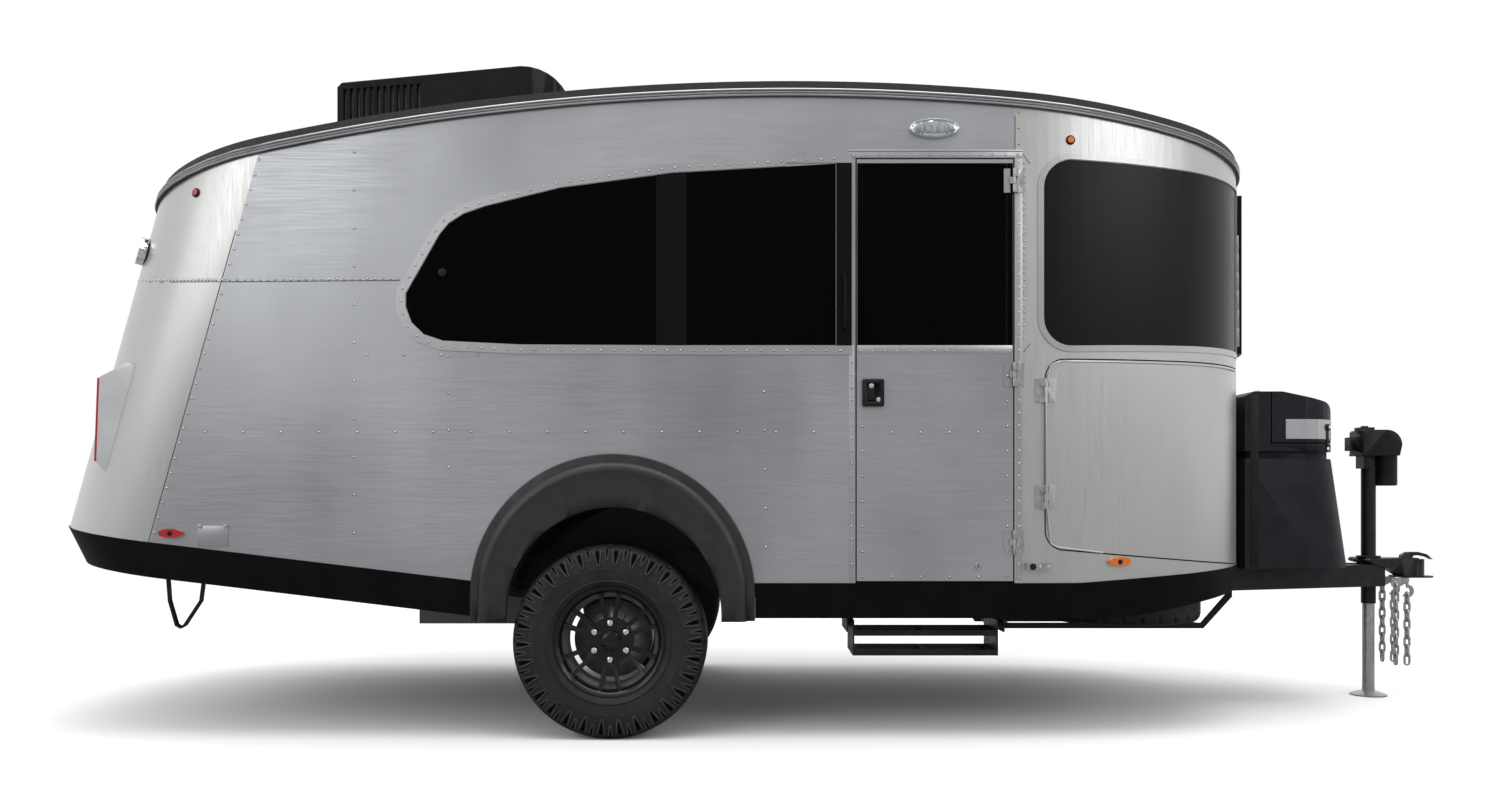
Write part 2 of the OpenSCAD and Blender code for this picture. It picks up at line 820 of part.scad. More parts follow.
module window_glass() color([0.03, 0.03, 0.04]) {
    both_sides() {
        side_plate(-w, -w + glass_t)
            difference() {
                polygon(window_outline(-seat_gap));
                translate([pillar_x - pillar_w / 2, 1400]) square([pillar_w, 900]);
            }
        intersection() {
            nose_band(-1, glass_t, nose_glass_h0 - 1, nose_glass_h1 - 0.05);
            side_plate(-1200, 0) nose_glass_profile(-seat_gap);
        }
    }
    intersection() {
        nose_band(mid_glass_out, mid_glass_out + glass_t + 1, mid_glass_h0 + 0.05, 90);
        side_plate(-1200, 1200) nose_glass_profile(-seat_gap);
    }
}

module window_pillars() color([0.06, 0.06, 0.06]) {
    both_sides()
        side_plate(-w - 2, -w + 24)
            intersection() {
                polygon(window_outline(-seat_gap));
                translate([pillar_x - pillar_w / 2 + seat_gap, 1400]) square([pillar_w - 2 * seat_gap, 900]);
            }
    both_sides()
        side_plate(-w - 5, -w - seat_gap)
            translate([window_front_x + 2, sill_z - 1])
                square([post_w, window_top_z - sill_z + 2]);
    grab_handle();
}

// Upright grab handle on the post behind the entry door
module grab_handle() {
    x = window_front_x + 2 + post_w / 2;
    translate([x, -w - grab_out, grab_z]) cylinder(r = grab_r, h = grab_len, $fn = 24);
    for (z = [grab_z + grab_r, grab_z + grab_len - grab_r])
        translate([x, -w - 2, z])
            rotate([90, 0, 0]) cylinder(r = grab_r - 1, h = grab_out - 2, $fn = 24);
}

// Places of the hinges on the entry door, as heights of their lower ends
door_hinge_zs = [700, 1330, 2060];
door_hinge_x = door_front_x + door_gap / 2;

module entry_door_hinges()
    for (z = door_hinge_zs)
        translate([door_hinge_x, -w - hinge_off, z])
            mirror([1, 0, 0]) hinge_fixed(hinge_off);

module entry_door() color([0.7, 0.71, 0.73]) {
    for (z = door_hinge_zs)
        translate([door_hinge_x, -w - hinge_off, z])
            mirror([1, 0, 0]) hinge_moving(hinge_off);
    difference() {
        translate([door_rear_x, -w, door_low_z])
            cube([door_front_x - door_rear_x, wall_t, door_top_z - door_low_z]);
        translate([door_rear_x + door_margin, -w - eps, sill_z])
            cube([door_front_x - door_rear_x - 2 * door_margin, wall_t + 2 * eps, door_top_z - sill_z - door_margin]);
    }
}

module entry_door_glass() color([0.03, 0.03, 0.04])
    translate([door_rear_x + door_margin + seat_gap, -w + 1, sill_z + seat_gap])
        cube([door_front_x - door_rear_x - 2 * door_margin - 2 * seat_gap, glass_t,
              door_top_z - sill_z - door_margin - 2 * seat_gap]);

module entry_door_handle() color([0.05, 0.05, 0.05])
    translate([door_rear_x + 20, -w - 24 - seat_gap, 1255]) cube([82, 24, 103]);

module tail_lamp_housings() color([0.8, 0.81, 0.82]) {
    both_sides()
        difference() {
            side_plate(-950, -770)
                polygon([
                    [lamp_x, 1048], [lamp_x + 12, 1375], [lamp_x + 118, 1430], [lamp_x + 136, 1424],
                    [lamp_x + 190, 1390], [lamp_x + 120, 1048], [lamp_x + 60, 1008], [lamp_x + 38, 1008]
                ]);
            envelope(seat_gap, 900, 1600);
        }
}

module lamps() color([0.7, 0.08, 0.06]) {
    both_sides() {
        at_turn(nose_arcs, 6.2, seat_gap)
            translate([0, 0, 2262]) rotate([0, 90, 0]) cylinder(r = 12, h = 8);
        at_turn(nose_arcs, 10.6, seat_gap)
            translate([0, 45, 669]) rotate([0, 90, 0]) linear_extrude(14) polygon(oval(17, 45));
        side_plate(-w - 14 - seat_gap, -w - seat_gap)
            translate([-2313, 778]) polygon(oval(45, 17));
        in_tail_frame()
            at_turn(tail_arcs, 23.6, seat_gap)
                translate([0, 0, 1319.7]) rotate([0, 90, 0]) cylinder(r = 12, h = 8);
        difference() {
            side_plate(-942, -790)
                polygon([
                    [lamp_x - 13, 1052], [lamp_x - seat_gap, 1052],
                    [lamp_x + 12 - seat_gap, 1372], [lamp_x - 1, 1372]
                ]);
            envelope(seat_gap, 900, 1600);
        }
        in_tail_frame()
            at_turn(tail_arcs, 60, seat_gap)
                translate([0, 0, 1065]) rotate([0, 90, 0]) linear_extrude(28) polygon(oval(56, 84));
    }
    side_plate(-w - porch_out, -w - seat_gap) translate([porch_x, porch_z]) polygon(oval(92, 35));
    side_plate(-w - porch_out - 8, -w - porch_out + 1) translate([porch_x, porch_z]) polygon(oval(70, 22));
}

// Side profile of the air conditioner, moved in by `in`
function ac_outline(in) = concat(
    [
        [ac_rear_x + in, roof_top_z - 300],
        [ac_rear_x + in, ac_rear_z - ac_t],
        [ac_rear_x + in + ac_t, ac_rear_z - in]
    ],
    arc_xy([ac_turn_x, ac_top_z - ac_nose_r], ac_nose_r - in, 90, 20, 7),
    [[ac_front_x - in, roof_top_z - 300]]
);

// Plan of the air conditioner with rounded front corners, moved in by `in`
module ac_plan(in) {
    r = 120;
    for (s = [-1, 1])
        translate([ac_front_x - in - r, s * (ac_half_w - in - r)]) circle(r = r);
    translate([ac_rear_x + in, in - ac_half_w]) square([ac_front_x - ac_rear_x - 2 * in - r, 2 * (ac_half_w - in)]);
    translate([ac_rear_x + in, in + r - ac_half_w])
        square([ac_front_x - ac_rear_x - 2 * in, 2 * (ac_half_w - in - r)]);
}

module ac_body(in) {
    intersection() {
        side_plate(-ac_half_w, ac_half_w) polygon(ac_outline(in));
        translate([0, 0, roof_top_z - 300]) linear_extrude(ac_top_z - roof_top_z + 300) ac_plan(in);
    }
}

module air_conditioner() color([0.07, 0.07, 0.07]) {
    slot_step = 29;
    difference() {
        ac_body(0);
        ac_body(ac_t);
        both_sides()
            for (i = [0:ac_slots - 1])
                translate([ac_rear_x + 26 + i * slot_step, -ac_half_w - eps, roof_top_z - 40])
                    cube([slot_step / 2, ac_t + 2 * eps, ac_rear_z - roof_top_z + 14 + i * 2]);
        side_plate(-1200, 1200)
            polygon(concat(
                [[far_rear, roof_top_z - 900], [far_front, roof_top_z - 900]],
                reversed(roof_arc(roof_r + seat_gap))
            ));
    }
}

module chassis_frame() color([0.09, 0.09, 0.09]) {
    tail_x = -2598;
    rise = (tail_rise_x - tail_x) * tan(tail_rise);
    top = rail_low_z + chassis_h;
    difference() {
        union() {
            both_sides() {
                side_plate(-rail_y - chassis_w / 2, chassis_w / 2 - rail_y)
                    polygon([
                        [tail_x, rail_low_z + rise], [tail_rise_x, rail_low_z], [1640, rail_low_z],
                        [1640, top], [tail_rise_x, top], [tail_x, top + rise]
                    ]);
                translate([1540, -rail_y, tongue_z])
                    rotate([0, 0, tongue_turn])
                        translate([0, -chassis_w / 2, 0])
                            cube([tongue_len, chassis_w, chassis_h]);
            }
            for (x = [-1050, 330, 900])
                translate([x, -rail_y, rail_low_z + 20]) cube([50, 2 * rail_y, chassis_h - 30]);
            translate([2010, -280, tongue_z + 10]) cube([50, 560, chassis_h - 20]);
            translate([-2500, -rail_y, tail_seam_z - 60]) cube([50, 2 * rail_y, 60]);
        }
        translate([jack_x, 0, 400]) cylinder(r = jack_r + seat_gap, h = 400);
    }
}

module water_tanks() color([0.45, 0.46, 0.47]) {
    side_plate(-380, 380)
        polygon([[-1560, 370], [-1115, 370], [-1115, floor_z + 0.4], [-1560, floor_z + (tail_rise_x + 1560) * tan(tail_rise) - seat_gap]]);
    translate([-60, -380, 440]) cube([340, 760, floor_z - 440 - seat_gap]);
}

module torsion_arm() {
    arm = [wheel_x + 515, wheel_z - 437];
    side = [-arm[1], arm[0]] / norm(arm);
    translate([0, -740 - seat_gap, 0])
        rotate([90, 0, 0])
            linear_extrude(28) {
                translate([-515, 437]) circle(r = 40);
                translate([wheel_x, wheel_z]) circle(r = 34);
                polygon([
                    [-515, 437] + 40 * side, [-515, 437] - 40 * side,
                    [wheel_x, wheel_z] - 34 * side, [wheel_x, wheel_z] + 34 * side
                ]);
            }
    translate([wheel_x, -765, wheel_z]) rotate([90, 0, 0]) cylinder(r = spindle_r, h = 220);
    translate([wheel_x, -768, wheel_z]) rotate([90, 0, 0]) cylinder(r = 140, h = 5);
}

module axle() color([0.1, 0.1, 0.1]) {
    translate([-560, -740, 392]) cube([90, 1480, 90]);
    both_sides() {
        translate([-600, -rail_y - 30, 470]) cube([170, 60, rail_low_z - seat_gap - 470]);
        torsion_arm();
    }
}

module wheel_place() {
    translate([wheel_x, -wheel_y, wheel_z]) rotate([90, 0, 0]) children();
}

// Brake drum, hub and studs; z runs outwards from the tyre's middle
module hub() {
    rotate_extrude()
        polygon([
            [spindle_r + run_gap, -110], [34, -110], [34, -60], [142, -60], [142, -132], [150, -132],
            [150, -40], [72, -40], [72, 12], [36, 12], [36, 78], [0, 78], [0, 70], [spindle_r + run_gap, 70]
        ]);
    for (i = [0:nuts - 1])
        rotate([0, 0, 90 + i * 360 / nuts])
            translate([nut_circle_r, 0, 0]) {
                cylinder(r = 6, h = 60);
                translate([0, 0, 44 + seat_gap]) cylinder(r = 11, h = 22);
            }
}

module rim() {
    difference() {
        union() {
            rotate_extrude($fn = 144)
                polygon([
                    [rim_r, -rim_w / 2 - 4], [rim_r, -rim_w / 2 + 4], [190, -rim_w / 2 + 8], [190, -45],
                    [172, -35], [172, 20], [190, 45], [190, rim_w / 2 - 8], [rim_r, rim_w / 2 - 4],
                    [rim_r, rim_w / 2 + 4], [203, rim_w / 2 + 4], [184, rim_w / 2 - 14], [184, 48],
                    [166, 22], [166, -37], [184, -48], [184, -rim_w / 2 + 2], [203, -rim_w / 2 - 4]
                ]);
            translate([0, 0, 12 + seat_gap]) cylinder(r = 88, h = 32);
            for (i = [0:spokes - 1])
                rotate([0, 0, (i + 0.5) * 360 / spokes + (i % 2 == 0 ? 4 : -4)])
                    translate([60, -9, 22]) rotate([0, -12, 0]) cube([132, 18, 22]);
        }
        translate([0, 0, -10]) cylinder(r = 37, h = 120);
        for (i = [0:nuts - 1])
            rotate([0, 0, 90 + i * 360 / nuts])
                translate([nut_circle_r, 0, 0]) {
                    cylinder(r = 8, h = 120);
                    translate([0, 0, 44]) cylinder(r = 12.5, h = 60);
                }
    }
}

// Gaps between the lugs of one shoulder: wedges that narrow towards the wheel's middle
module lug_gaps() {
    for (i = [0:lugs - 1])
        rotate([0, 0, i * 360 / lugs])
            translate([0, 0, tyre_w / 2 - 42])
                linear_extrude(43)
                    polygon([
                        [tyre_r - lug_deep, -5], [tyre_r + 2, -9],
                        [tyre_r + 2, 9], [tyre_r - lug_deep, 5]
                    ]);
}

module tyre() {
    difference() {
        tyre_casing();
        lug_gaps();
        rotate([180, 0, 0]) lug_gaps();
    }
}

module tyre_casing() {
    half = tyre_w / 2;
    rotate_extrude($fn = 144)
        polygon([
            [190.3, -80.5], [190.3, -62], [200, -66], [224, -94], [300, -104], [340, -92], [350, -78],
            [350, 78], [340, 92], [300, 104], [224, 94], [200, 66], [190.3, 62], [190.3, 80.5],
            [209.3, 84.5], [212, 98], [232, 112], [282, half], [322, half - 4], [352, half - 12],
            [tyre_r - 4, half - 26], [tyre_r, half - 44], [tyre_r, 44 - half], [tyre_r - 4, 26 - half],
            [352, 12 - half], [322, 4 - half], [282, -half], [232, -112], [212, -98], [209.3, -84.5]
        ]);
}

module hub_near() color([0.3, 0.3, 0.32]) wheel_place() hub();
module rim_near() color([0.04, 0.04, 0.04]) wheel_place() rim();
module tyre_near() color([0.08, 0.08, 0.08]) wheel_place() tyre();
module hub_far() color([0.3, 0.3, 0.32]) mirror([0, 1, 0]) wheel_place() hub();
module rim_far() color([0.04, 0.04, 0.04]) mirror([0, 1, 0]) wheel_place() rim();
module tyre_far() color([0.08, 0.08, 0.08]) mirror([0, 1, 0]) wheel_place() tyre();

// Outer side of the coupler, which wraps the tongue's beams
function coupler_half(x) =
    rail_y - (x - 1540) * tan(tongue_turn) + chassis_w / 2 / cos(tongue_turn) + coupler_t;

module coupler_body() {
    x0 = jack_x - 45;
    x1 = socket_x - 70;
    intersection() {
        side_plate(-120, 120)
            polygon([
                [x0, coupler_top_z - 8], [x0 + 4, coupler_top_z - 18], [x0 + 70, coupler_top_z - 38],
                [x1 - 50, coupler_top_z - 52], [x1 + 4, coupler_low_z], [socket_x, coupler_low_z],
                [socket_x, coupler_top_z], [x0 + 10, coupler_top_z]
            ]);
        linear_extrude(coupler_top_z + eps)
            polygon([
                [x0, -coupler_half(x0)], [x1, -coupler_half(x1)], [x1 + 30, -38], [socket_x, -38],
                [socket_x, 38], [x1 + 30, 38], [x1, coupler_half(x1)], [x0, coupler_half(x0)]
            ]);
    }
}

module coupler() color([0.1, 0.1, 0.1]) {
    lip_t = 7;
    difference() {
        union() {
            coupler_body();
            translate([socket_x, 0, coupler_low_z]) cylinder(r = 40, h = coupler_top_z - coupler_low_z - 6);
            translate([socket_x - 90, -58, coupler_low_z]) cube([130, 116, lip_t]);
            translate([socket_x + 24, 0, coupler_low_z]) cylinder(r = 55, h = lip_t);
            side_plate(-16, 16)
                translate([socket_x, coupler_top_z])
                    polygon([
                        [-66, -10], [-64, 12], [-38, 26], [10, 27], [50, 16], [76, -8],
                        [52, 4], [12, 12], [-14, 10], [-20, -10]
                    ]);
        }
        both_sides()
            translate([1540, -rail_y, tongue_z - 10])
                rotate([0, 0, tongue_turn])
                    translate([0, -chassis_w / 2 - seat_gap, 0])
                        cube([tongue_len + seat_gap, chassis_w + 2 * seat_gap, chassis_h + 10 + seat_gap / 2]);
        translate([socket_x, 0, 500]) cylinder(r = ball_r + 0.2, h = 105);
        translate([jack_x, 0, 400]) cylinder(r = jack_r + seat_gap, h = 400);
    }
}

module jack_tube() color([0.05, 0.05, 0.05]) {
    difference() {
        union() {
            translate([jack_x, 0, 426]) cylinder(r = jack_r, h = jack_head_z - 426);
            translate([jack_x, 0, coupler_top_z + seat_gap]) cylinder(r = 52, h = 9);
            translate([jack_x - 40, -36, jack_head_z - 58]) cube([40, 72, 58]);
        }
        translate([jack_x, 0, 400]) cylinder(r = jack_leg_r + seat_gap, h = 200);
    }
}

module jack_leg() color([0.55, 0.55, 0.56]) {
    translate([jack_x, 0, 17]) cylinder(r = jack_leg_r, h = 540);
    translate([jack_x, 0, 0])
        rotate_extrude()
            polygon([[0, 0], [foot_r, 0], [foot_r, 6], [36, 20], [0, 20]]);
}

// Gear head with its motor, a cap on top and a bracket behind
module jack_head() color([0.06, 0.06, 0.06]) {
    low = jack_head_z + seat_gap;
    r = 70;
    side_plate(-64, 64)
        polygon(concat(
            [[jack_x - 55, low], [jack_x + 112, low]],
            arc_xy([jack_x + 123 - r, low + 118 - r], r, 0, 90, 8),
            [[jack_x - 47, low + 118], [jack_x - 55, low + 110]]
        ));
    translate([jack_x - 90, -40, low + 24]) cube([36, 80, 62]);
    translate([jack_x - 50, -30, low + 117]) cube([64, 60, 14]);
    translate([jack_x - 18, 0, low + 130]) cylinder(r = 16, h = 8);
    translate([jack_x - 60, -58, low - 0.1]) cube([176, 116, 8]);
    translate([jack_x + jack_motor_x, 0, low - jack_motor_len])
        rotate_extrude()
            polygon([
                [0, 0], [jack_motor_r - 6, 0], [jack_motor_r, 5],
                [jack_motor_r, jack_motor_len + 1], [0, jack_motor_len + 1]
            ]);
}

// Plan of the gas box from x0 to x1, moved in by `in`
module gas_box_plan(x0, x1, in) {
    r = box_r - in;
    half = box_half_w - in;
    translate([x0 + in, -half]) square([x1 - x0 - 2 * in - r, 2 * half]);
    translate([x0 + in, r - half]) square([x1 - x0 - 2 * in, 2 * (half - r)]);
    for (s = [-1, 1]) translate([x1 - in - r, s * (half - r)]) circle(r = r);
}

module gas_box_layer(z0, z1, x0, x1, in) {
    translate([0, 0, z0])
        linear_extrude(z1 - z0)
            gas_box_plan(x0, x1, in);
}

module gas_box() color([0.1, 0.1, 0.11]) {
    rear_x1 = box_lid_x - door_gap;
    flange_z = groove_z + groove_h;
    difference() {
        union() {
            hull() {
                gas_box_layer(box_low_z, box_low_z + 1, box_rear_x, box_foot_x, 0, $fn = 48);
                gas_box_layer(groove_z - 1, groove_z, box_rear_x, box_front_x, 0, $fn = 48);
            }
            gas_box_layer(groove_z - 1, flange_z + 1, box_rear_x, box_front_x, groove_deep);
            gas_box_layer(flange_z, box_split_z, box_rear_x, box_front_x, 0);
            side_plate(-box_half_w, box_half_w)
                polygon([
                    [box_rear_x, flange_z], [rear_x1, flange_z], [rear_x1, box_top_z],
                    [box_rear_x + 40, box_top_z], [box_rear_x, box_top_z - 20]
                ]);
        }
        gas_box_layer(box_low_z + box_t, groove_z - box_t, box_rear_x, box_front_x, box_t);
        gas_box_layer(groove_z - box_t - 1, box_split_z + 1, box_rear_x, box_front_x, groove_deep + box_t);
        translate([box_rear_x + box_t, box_t - box_half_w, flange_z + box_t])
            cube([rear_x1 - box_rear_x - box_t + 1, 2 * (box_half_w - box_t), box_top_z - flange_z - 2 * box_t - 20]);
    }
}

// Lid hinges: the axis runs along Y above the joint between lid and box
module at_lid_hinge() {
    for (y = [-250, 250])
        translate([box_lid_x - door_gap / 2, y + hinge_len / 2, box_top_z + hinge_off])
            multmatrix([[1, 0, 0, 0], [0, 0, -1, 0], [0, -1, 0, 0], [0, 0, 0, 1]])
                children();
}

// Side profile of the lid, moved in by `in`: flat at the hinges, then sloping to a rounded front
function lid_outline(in) = concat(
    [[box_lid_x + in, box_split_z - 20], [box_front_x - in, box_split_z - 20], [box_front_x - in, box_split_z + 30]],
    arc_xy([box_front_x - 13 - lid_r, box_top_z - 40 - lid_r], lid_r - in, 0, 80, 8),
    [[box_lid_x + 46, box_top_z - in], [box_lid_x + in, box_top_z - in]]
);

module lid_body(in) {
    intersection() {
        side_plate(-box_half_w, box_half_w) polygon(lid_outline(in));
        gas_box_layer(box_split_z - 30, box_top_z + 10, box_lid_x, box_front_x, in);
    }
}

module gas_box_lid() color([0.1, 0.1, 0.11]) {
    at_lid_hinge() hinge_moving(hinge_off);
    difference() {
        lid_body(0);
        lid_body(box_t);
        translate([box_lid_x - 50, -500, box_split_z - 60]) cube([600, 1000, 60 + door_gap]);
        translate([box_lid_x - 1, box_t - box_half_w, box_split_z])
            cube([box_t + 2, 2 * (box_half_w - box_t), box_top_z - box_split_z - box_t]);
    }
}

module gas_bottles() color([0.8, 0.8, 0.8]) {
    for (y = [-190, 190])
        translate([2220, y, box_low_z + box_t + seat_gap]) {
            rotate_extrude()
                polygon([
                    [0, 0], [120, 0], [120, 20], [155, 50], [155, 330], [120, 375], [40, 390],
                    [40, 400], [16, 400], [16, 440], [0, 440]
                ]);
            difference() {
                translate([0, 0, 380]) cylinder(r = 105, h = 75);
                translate([0, 0, 370]) cylinder(r = 101, h = 90);
            }
        }
}

// Pins of the step's links: the fixed ones and the ones that carry the treads
link_y = -960;
link_len = 200;
link_z = 430;
pin_hole_r = 5;
tread_hole_w = (step_x1 - step_x0 - 48 - 80) / 2;

module step_bracket() {
    for (x = [step_x0, step_x1 - 6])
        translate([x, -980, 400]) cube([6, 240, 120]);
    for (x = [step_x0, step_x1 - 18])
        translate([x, link_y, link_z]) rotate([0, 90, 0]) cylinder(r = pin_hole_r, h = 18);
    translate([step_x0, -980, 500]) cube([step_x1 - step_x0, 30, 30]);
    translate([step_x0, -770, 500]) cube([step_x1 - step_x0, 30, floor_z - seat_gap - 500]);
}

module step_links() color([0.06, 0.06, 0.06]) {
    for (x = [step_x0 + 12, step_x1 - 18])
        translate([x, link_y, link_z])
            rotate([0, 90, 0])
                difference() {
                    union() {
                        cylinder(r = 14, h = 6);
                        translate([-12, 0, 0]) cube([24, link_len, 6]);
                        translate([0, link_len, 0]) cylinder(r = 14, h = 6);
                    }
                    for (y = [0, link_len]) translate([0, y, -1]) cylinder(r = pin_hole_r + run_gap, h = 8);
                }
}

module step_treads() color([0.07, 0.07, 0.07]) {
    for (x = [step_x0 + 24, step_x1 - 30])
        translate([x, -975, 310]) cube([6, 250, 135]);
    for (x = [step_x0 + 12, step_x1 - 30])
        translate([x, link_y + link_len, link_z]) rotate([0, 90, 0]) cylinder(r = pin_hole_r, h = 18);
    for (z = [385, 310])
        translate([step_x0 + 24, -975, z])
            difference() {
                cube([step_x1 - step_x0 - 48, 200, 22]);
                for (i = [0:1])
                    translate([30 + i * (tread_hole_w + 20), 26, -1]) cube([tread_hole_w, 148, 24]);
            }
}

module spare_place() translate([1562, 0, spare_z]) children();
module spare_tyre() color([0.08, 0.08, 0.08]) spare_place() tyre();
module spare_rim() color([0.2, 0.2, 0.2]) spare_place() rim();

module spare_carrier() {
    z = spare_z - tyre_w / 2 - 24 - seat_gap;
    for (y = [-150, 150])
        side_plate(y - 12, y + 12)
            polygon([
                [910, floor_z - 90], [910, z + 40], [935, z], [1905, z], [2034, tongue_z - 40],
                [2034, tongue_z + 10 - seat_gap], [2010, tongue_z + 10 - seat_gap], [2010, tongue_z - 32],
                [1900, z + 24], [1000, z + 24], [960, z + 50], [960, floor_z - 90]
            ]);
    for (x = [1010, 1860]) translate([x, -162, z]) cube([24, 324, 24]);
    translate([966, 162, z + 78]) rotate([90, 0, 0]) cylinder(r = 16, h = 324, $fn = 32);
}

module rear_loop() {
    top = tail_seam_z - seat_gap;
    side_plate(-775, -750)
        difference() {
            polygon([[-2470, top], [-2452, 500], [-2424, 402], [-2404, 390], [-2384, 402], [-2320, 500], [-2290, top - 12]]);
            polygon([[-2480, top + 20], [-2462, top - 10], [-2445, 503], [-2417, 408], [-2404, 400], [-2390, 408], [-2327, 503],
                     [-2297, top - 10], [-2280, top + 20]]);
        }
}

// Chain link: a ring with round ends, upright in the X-Z plane
module chain_link() {
    side_plate(-link_d / 2, link_d / 2)
        difference() {
            polygon(link_ring(link_w / 2));
            polygon(link_ring(link_w / 2 - link_d));
        }
}
// Distance of a link's round ends from its middle, with room for the next links
link_half = link_pitch / 2 + 2.5 + link_d - link_w / 2;
// Distance from a link's middle to the middle of its end bar
link_reach = link_half + link_w / 2 - link_d / 2;
function link_ring(r) = concat(arc_xy([0, link_half], r, 0, 180, 4), arc_xy([0, -link_half], r, 180, 360, 4));

module chain_strand(count) {
    for (i = [0:count - 1])
        translate([0, 0, -i * link_pitch])
            rotate([0, 0, 90 * ((i + 1) % 2)])
                chain_link();
}

// Hook open to the rear, drawn about the middle of its bend
module chain_hook() {
    side_plate(-link_d / 2 - 0.5, link_d / 2 + 0.5)
        polygon(concat(
            arc_xy([0, 0], 30, 80, -130, 10),
            arc_xy([0, 0], 15, -130, 100, 8),
            [[-5, 46], [5, 46]]
        ));
}

hook_x = chain_x + 52;
hook_z = chain_top_z - 36;

// Two chains, each hung from an eye on the tongue and hooked back up beside it
module safety_chains() color([0.5, 0.5, 0.5]) {
    for (y = [-58, 58]) {
        translate([chain_x, y, chain_top_z - link_reach]) chain_strand(chain_count);
        translate([hook_x, y, hook_z]) {
            chain_hook();
            translate([0, 0, -6 - link_reach]) chain_strand(chain_count - 1);
        }
        side_plate(y - link_d / 2, y + link_d / 2)
            translate([chain_x, 0])
                difference() {
                    polygon([
                        [-22, coupler_low_z - 18], [-16, chain_top_z - 16], [16, chain_top_z - 16],
                        [60, coupler_low_z - 18], [60, coupler_low_z - seat_gap], [-22, coupler_low_z - seat_gap]
                    ]);
                    translate([0, chain_top_z]) circle(r = 8, $fn = 24);
                }
    }
}

module door_catch()
    at_turn(nose_arcs, 2.4, seat_gap)
        translate([0, -45, 640]) cube([26, 90, 26]);

module hinges() color([0.5, 0.5, 0.51]) {
    entry_door_hinges();
    storage_hinges();
    hatch_hinges();
    at_lid_hinge() hinge_fixed(hinge_off);
    door_catch();
}

module underbody_brackets() color([0.06, 0.06, 0.06]) {
    step_bracket();
    spare_carrier();
    rear_loop();
}

side_wall_near();
side_wall_far();
nose_wall();
tail_wall();
roof();
rain_rail();
floor();
skirts();
wheel_flares();
wheel_wells();
window_frames();
window_glass();
window_pillars();
entry_door();
entry_door_glass();
entry_door_handle();
storage_door_near();
storage_door_far();
tail_hatch();
tail_hatch_glass();
tail_hatch_handle();
tail_lamp_housings();
lamps();
air_conditioner();
chassis_frame();
water_tanks();
axle();
hub_near();
rim_near();
tyre_near();
hub_far();
rim_far();
tyre_far();
coupler();
jack_tube();
jack_leg();
jack_head();
gas_box();
gas_box_lid();
gas_bottles();
underbody_brackets();
step_links();
step_treads();
spare_tyre();
spare_rim();
safety_chains();
hinges();
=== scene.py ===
"""Looks of a travel caravan with a riveted metal shell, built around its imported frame."""

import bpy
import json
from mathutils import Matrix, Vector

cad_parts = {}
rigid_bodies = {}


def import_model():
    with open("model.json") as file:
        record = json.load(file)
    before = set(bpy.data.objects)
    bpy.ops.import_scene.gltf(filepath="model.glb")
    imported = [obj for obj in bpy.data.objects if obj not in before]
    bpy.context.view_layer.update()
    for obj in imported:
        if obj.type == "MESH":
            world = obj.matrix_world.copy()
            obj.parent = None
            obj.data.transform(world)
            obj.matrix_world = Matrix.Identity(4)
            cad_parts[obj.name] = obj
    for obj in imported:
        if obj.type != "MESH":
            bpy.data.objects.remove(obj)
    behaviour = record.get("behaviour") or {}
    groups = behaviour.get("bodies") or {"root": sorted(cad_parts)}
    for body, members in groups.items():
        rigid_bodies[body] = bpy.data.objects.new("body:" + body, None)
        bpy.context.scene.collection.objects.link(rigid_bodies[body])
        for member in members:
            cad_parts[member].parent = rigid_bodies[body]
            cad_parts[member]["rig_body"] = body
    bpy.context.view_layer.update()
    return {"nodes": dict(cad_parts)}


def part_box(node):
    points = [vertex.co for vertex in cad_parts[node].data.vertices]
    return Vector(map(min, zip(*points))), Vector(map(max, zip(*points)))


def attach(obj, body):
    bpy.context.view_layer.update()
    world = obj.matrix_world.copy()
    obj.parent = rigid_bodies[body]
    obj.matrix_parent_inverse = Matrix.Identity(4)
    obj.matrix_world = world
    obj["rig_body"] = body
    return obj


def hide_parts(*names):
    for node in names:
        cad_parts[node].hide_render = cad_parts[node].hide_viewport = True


bl_info = {
    "name": "Riveted travel caravan",
    "version": (1, 0, 0),
    "blender": (4, 5, 0),
    "location": "View3D > Sidebar > Caravan",
    "description": "Dresses the caravan's frame with skins, rivets, trim, tyres and a plain studio",
    "category": "Object",
}

import json
import math

import bpy
from mathutils import Matrix, Vector
from mathutils.bvhtree import BVHTree

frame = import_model()
MM = 0.001
# The camera's place, its focal length in photograph pixels, and the pixel it looks at level
EYE = Vector((-0.134, -5.5, 0.903))
FOCAL = 1187.0
PIXEL = 1.0 / FOCAL
HORIZON = (750.0, 500.0)
PHOTO_WIDTH, PHOTO_MIDDLE = 1500.0, 405.5
# The near skin's plane, where rays at it start, and their directions
SIDE_Y = -1.030
START_Y = -1.3
INWARDS, OUTWARDS = Vector((0, 1, 0)), Vector((0, -1, 0))
FAR = Matrix.Diagonal((1.0, -1.0, 1.0, 1.0))
# Centre of the roof's arc, its radius under the coating, and the rain rail's height
ROOF_CENTRE = (0.016, 2.481 - 9.600)
RAIL_RADIUS = 9.540
RAIL_HEIGHT = 0.030
# Where the rolled nose begins, and the middles of the porch light and the tail's oval lamps
NOSE_START = 0.9
PORCH_X, PORCH_Z = 0.559, 2.300
OVAL_Y, OVAL_Z = 0.777, 1.893
# How far strips of a chain reach past their joints, and the size of creases in corner plates
LAP = 0.0004
CREASE_WIDTH, CREASE_HEIGHT = 0.0025, 0.0008
